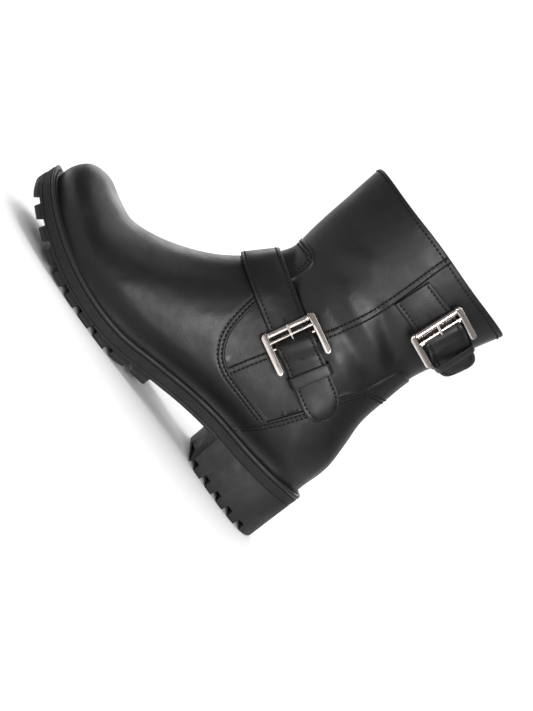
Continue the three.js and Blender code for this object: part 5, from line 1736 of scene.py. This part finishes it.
COIL_LENGTH, COIL_RADIUS, COIL_PITCH, COIL_OFFSET = 2.99, 0.42, 0.72, 0.7
middle, normals = zip_place(0, 0.75)
side_point, _ = zip_place(1.0, 0.75)
short = min(len(middle), len(side_point))
rows = np.hstack([middle[:short], side_point[:short], normals[:short]])
run = run_along(middle[:short])
teeth = []
for k, s in enumerate(np.arange(1.0, run[-1] - 0.5, COIL_PITCH)):
    centre, beside, normal = np.split(at_run(rows, run, s), 3)
    across_way = unit(beside - centre)
    forward = np.cross(normal, across_way)
    centre = centre + across_way * (COIL_OFFSET if k % 2 else -COIL_OFFSET)
    teeth.append(capsule(centre, across_way, forward * 0.8, normal, COIL_LENGTH, COIL_RADIUS))
make("zip_coils", *join(teeth), TEETH, "zip_teeth_plastic", "zip_teeth")

# %% Slider and pull
joint = frame["record"]["behaviour"]["joints"][0]
hinge = np.array(joint["pos_m"]) / MM - SHIFT
x = np.array(joint["axis"])
nearest = zip_guide.tree.find(hinge)[1]
normal = form_frame(*zip_line[nearest])[1]
z = unit(normal - x * (normal @ x))
x = x * np.sign(np.cross(z, x)[2])
slider_axes = Axes(hinge, x, np.cross(z, x), z)
SLIDER_WIDTH, SLIDER_LENGTH, SLIDER_THICKNESS, ROOM = 8.4, 11.0, 2.2, 1.05
w, h = SLIDER_WIDTH / 2, SLIDER_LENGTH / 2
outline = four_corners((w - 1.5, h - 1.5, 1.5, 6), (0.72 * w - 1.2, -h + 1.2, 1.2, 6))
points, faces = rounded_plate(outline, SLIDER_THICKNESS / 2, 0.6)
points[:, 2] -= ROOM + SLIDER_THICKNESS / 2
bridge = [(0, 1.55 * math.cos(a), -ROOM - 0.3 + 2.9 * math.sin(a)) for a in np.linspace(0, math.pi, 15)]
slider = join([(slider_axes.out(points), faces), tube(slider_axes.out(bridge), 0.5, 12)])
make("zip_slider_body", *slider, NICKEL, "slider_metal", "zip_slider", creased=45)
PULL_WIDTH, PULL_LENGTH, PULL_THICKNESS = 5.6, 18.0, 1.2
w = PULL_WIDTH / 2
outline = four_corners((w - 0.6, 0.0, 0.6, 5), (w - 2.0, -PULL_LENGTH + 2.6, 2.0, 8))
points, faces = rounded_plate(outline, PULL_THICKNESS / 2, 0.45)
pull = make("zip_pull_tab", slider_axes.out(points), faces, TEETH, "pull_plastic", "zip_pull",
            body=PULL, creased=45)
window = four_corners((0.65, -1.2, 0.6, 4), (0.65, -4.1, 0.6, 4))
cut(pull, [swept([slider_axes.out([(a, b, c) for a, b in window]) for c in (-2, 2)])])

# %% [markdown]
# ## Floor, light and camera
# The photo was taken in a light studio with a nearly white floor. A large soft light hangs from the
# ceiling, a small one stands low on the camera's side, and a weak one behind lightens the boot's
# edges. The camera looks at the outer side from the height of the ankle, and is rolled, as in the
# photo. Colours are shown as they are, without a film curve, so the floor stays white.

# %% Floor, light and camera
floor_material, _, _ = material("pale floor", (0.93, 0.93, 0.94), 0.7, specular=0.1)
profile = [(2.2, 0.0), (-1.4, 0.0)]
profile += [(-1.4 - 0.5 * math.sin(a), 0.5 - 0.5 * math.cos(a)) for a in np.linspace(0.1, math.pi / 2, 12)]
profile += [(-1.9, 3.5)]
corners = [(x, y, z) for y, z in profile for x in (-3.0, 3.0)]
floor_mesh = new_mesh("floor", corners, grid_faces(len(profile), 2), floor_material)
shade(floor_mesh)
new_object("floor", floor_mesh)

world = bpy.data.worlds.new("studio")
world.use_nodes = True
world.node_tree.nodes["Background"].inputs["Color"].default_value = (1, 1, 1, 1)
world.node_tree.nodes["Background"].inputs["Strength"].default_value = 0.3
bpy.context.scene.world = world


def soft_light(name, place, target, size, power):
    lamp = bpy.data.lights.new(name, "AREA")
    lamp.shape = "RECTANGLE"
    lamp.size, lamp.size_y = size
    lamp.energy = power
    obj = new_object(name, lamp)
    obj.location = place
    obj.rotation_euler = (Vector(target) - Vector(place)).to_track_quat("-Z", "Y").to_euler()


soft_light("key", (-0.3, 1.2, 0.34), (0, 0, 0.1), (0.5, 0.4), 15)
soft_light("ceiling", (0, -0.5, 1.9), (0, -0.5, 0), (2.6, 2.4), 42)
soft_light("back", (0.2, -1.5, 0.7), (0, 0, 0.1), (1.6, 0.5), 8)

bpy.context.scene.view_settings.view_transform = "Standard"
# The camera's place, its aim and the way to its right, read off the photo
eye = Vector((23.937, 798.992, 145.6)) * MM
aim = Vector((-45.163, -1.008, 80.0)) * MM
PHOTO_RIGHT = Vector((0.8211, 0, 0.5707))
back_of_view = (eye - aim).normalized()
right = PHOTO_RIGHT.cross(back_of_view).normalized()
up = back_of_view.cross(right)
camera_data = bpy.data.cameras.new("camera")
camera_data.lens = 60.5
camera_data.sensor_width = 36.0
camera = new_object("camera", camera_data)
camera.matrix_world = Matrix.Translation(eye) @ Matrix((right, up, back_of_view)).transposed().to_4x4()
bpy.context.scene.camera = camera
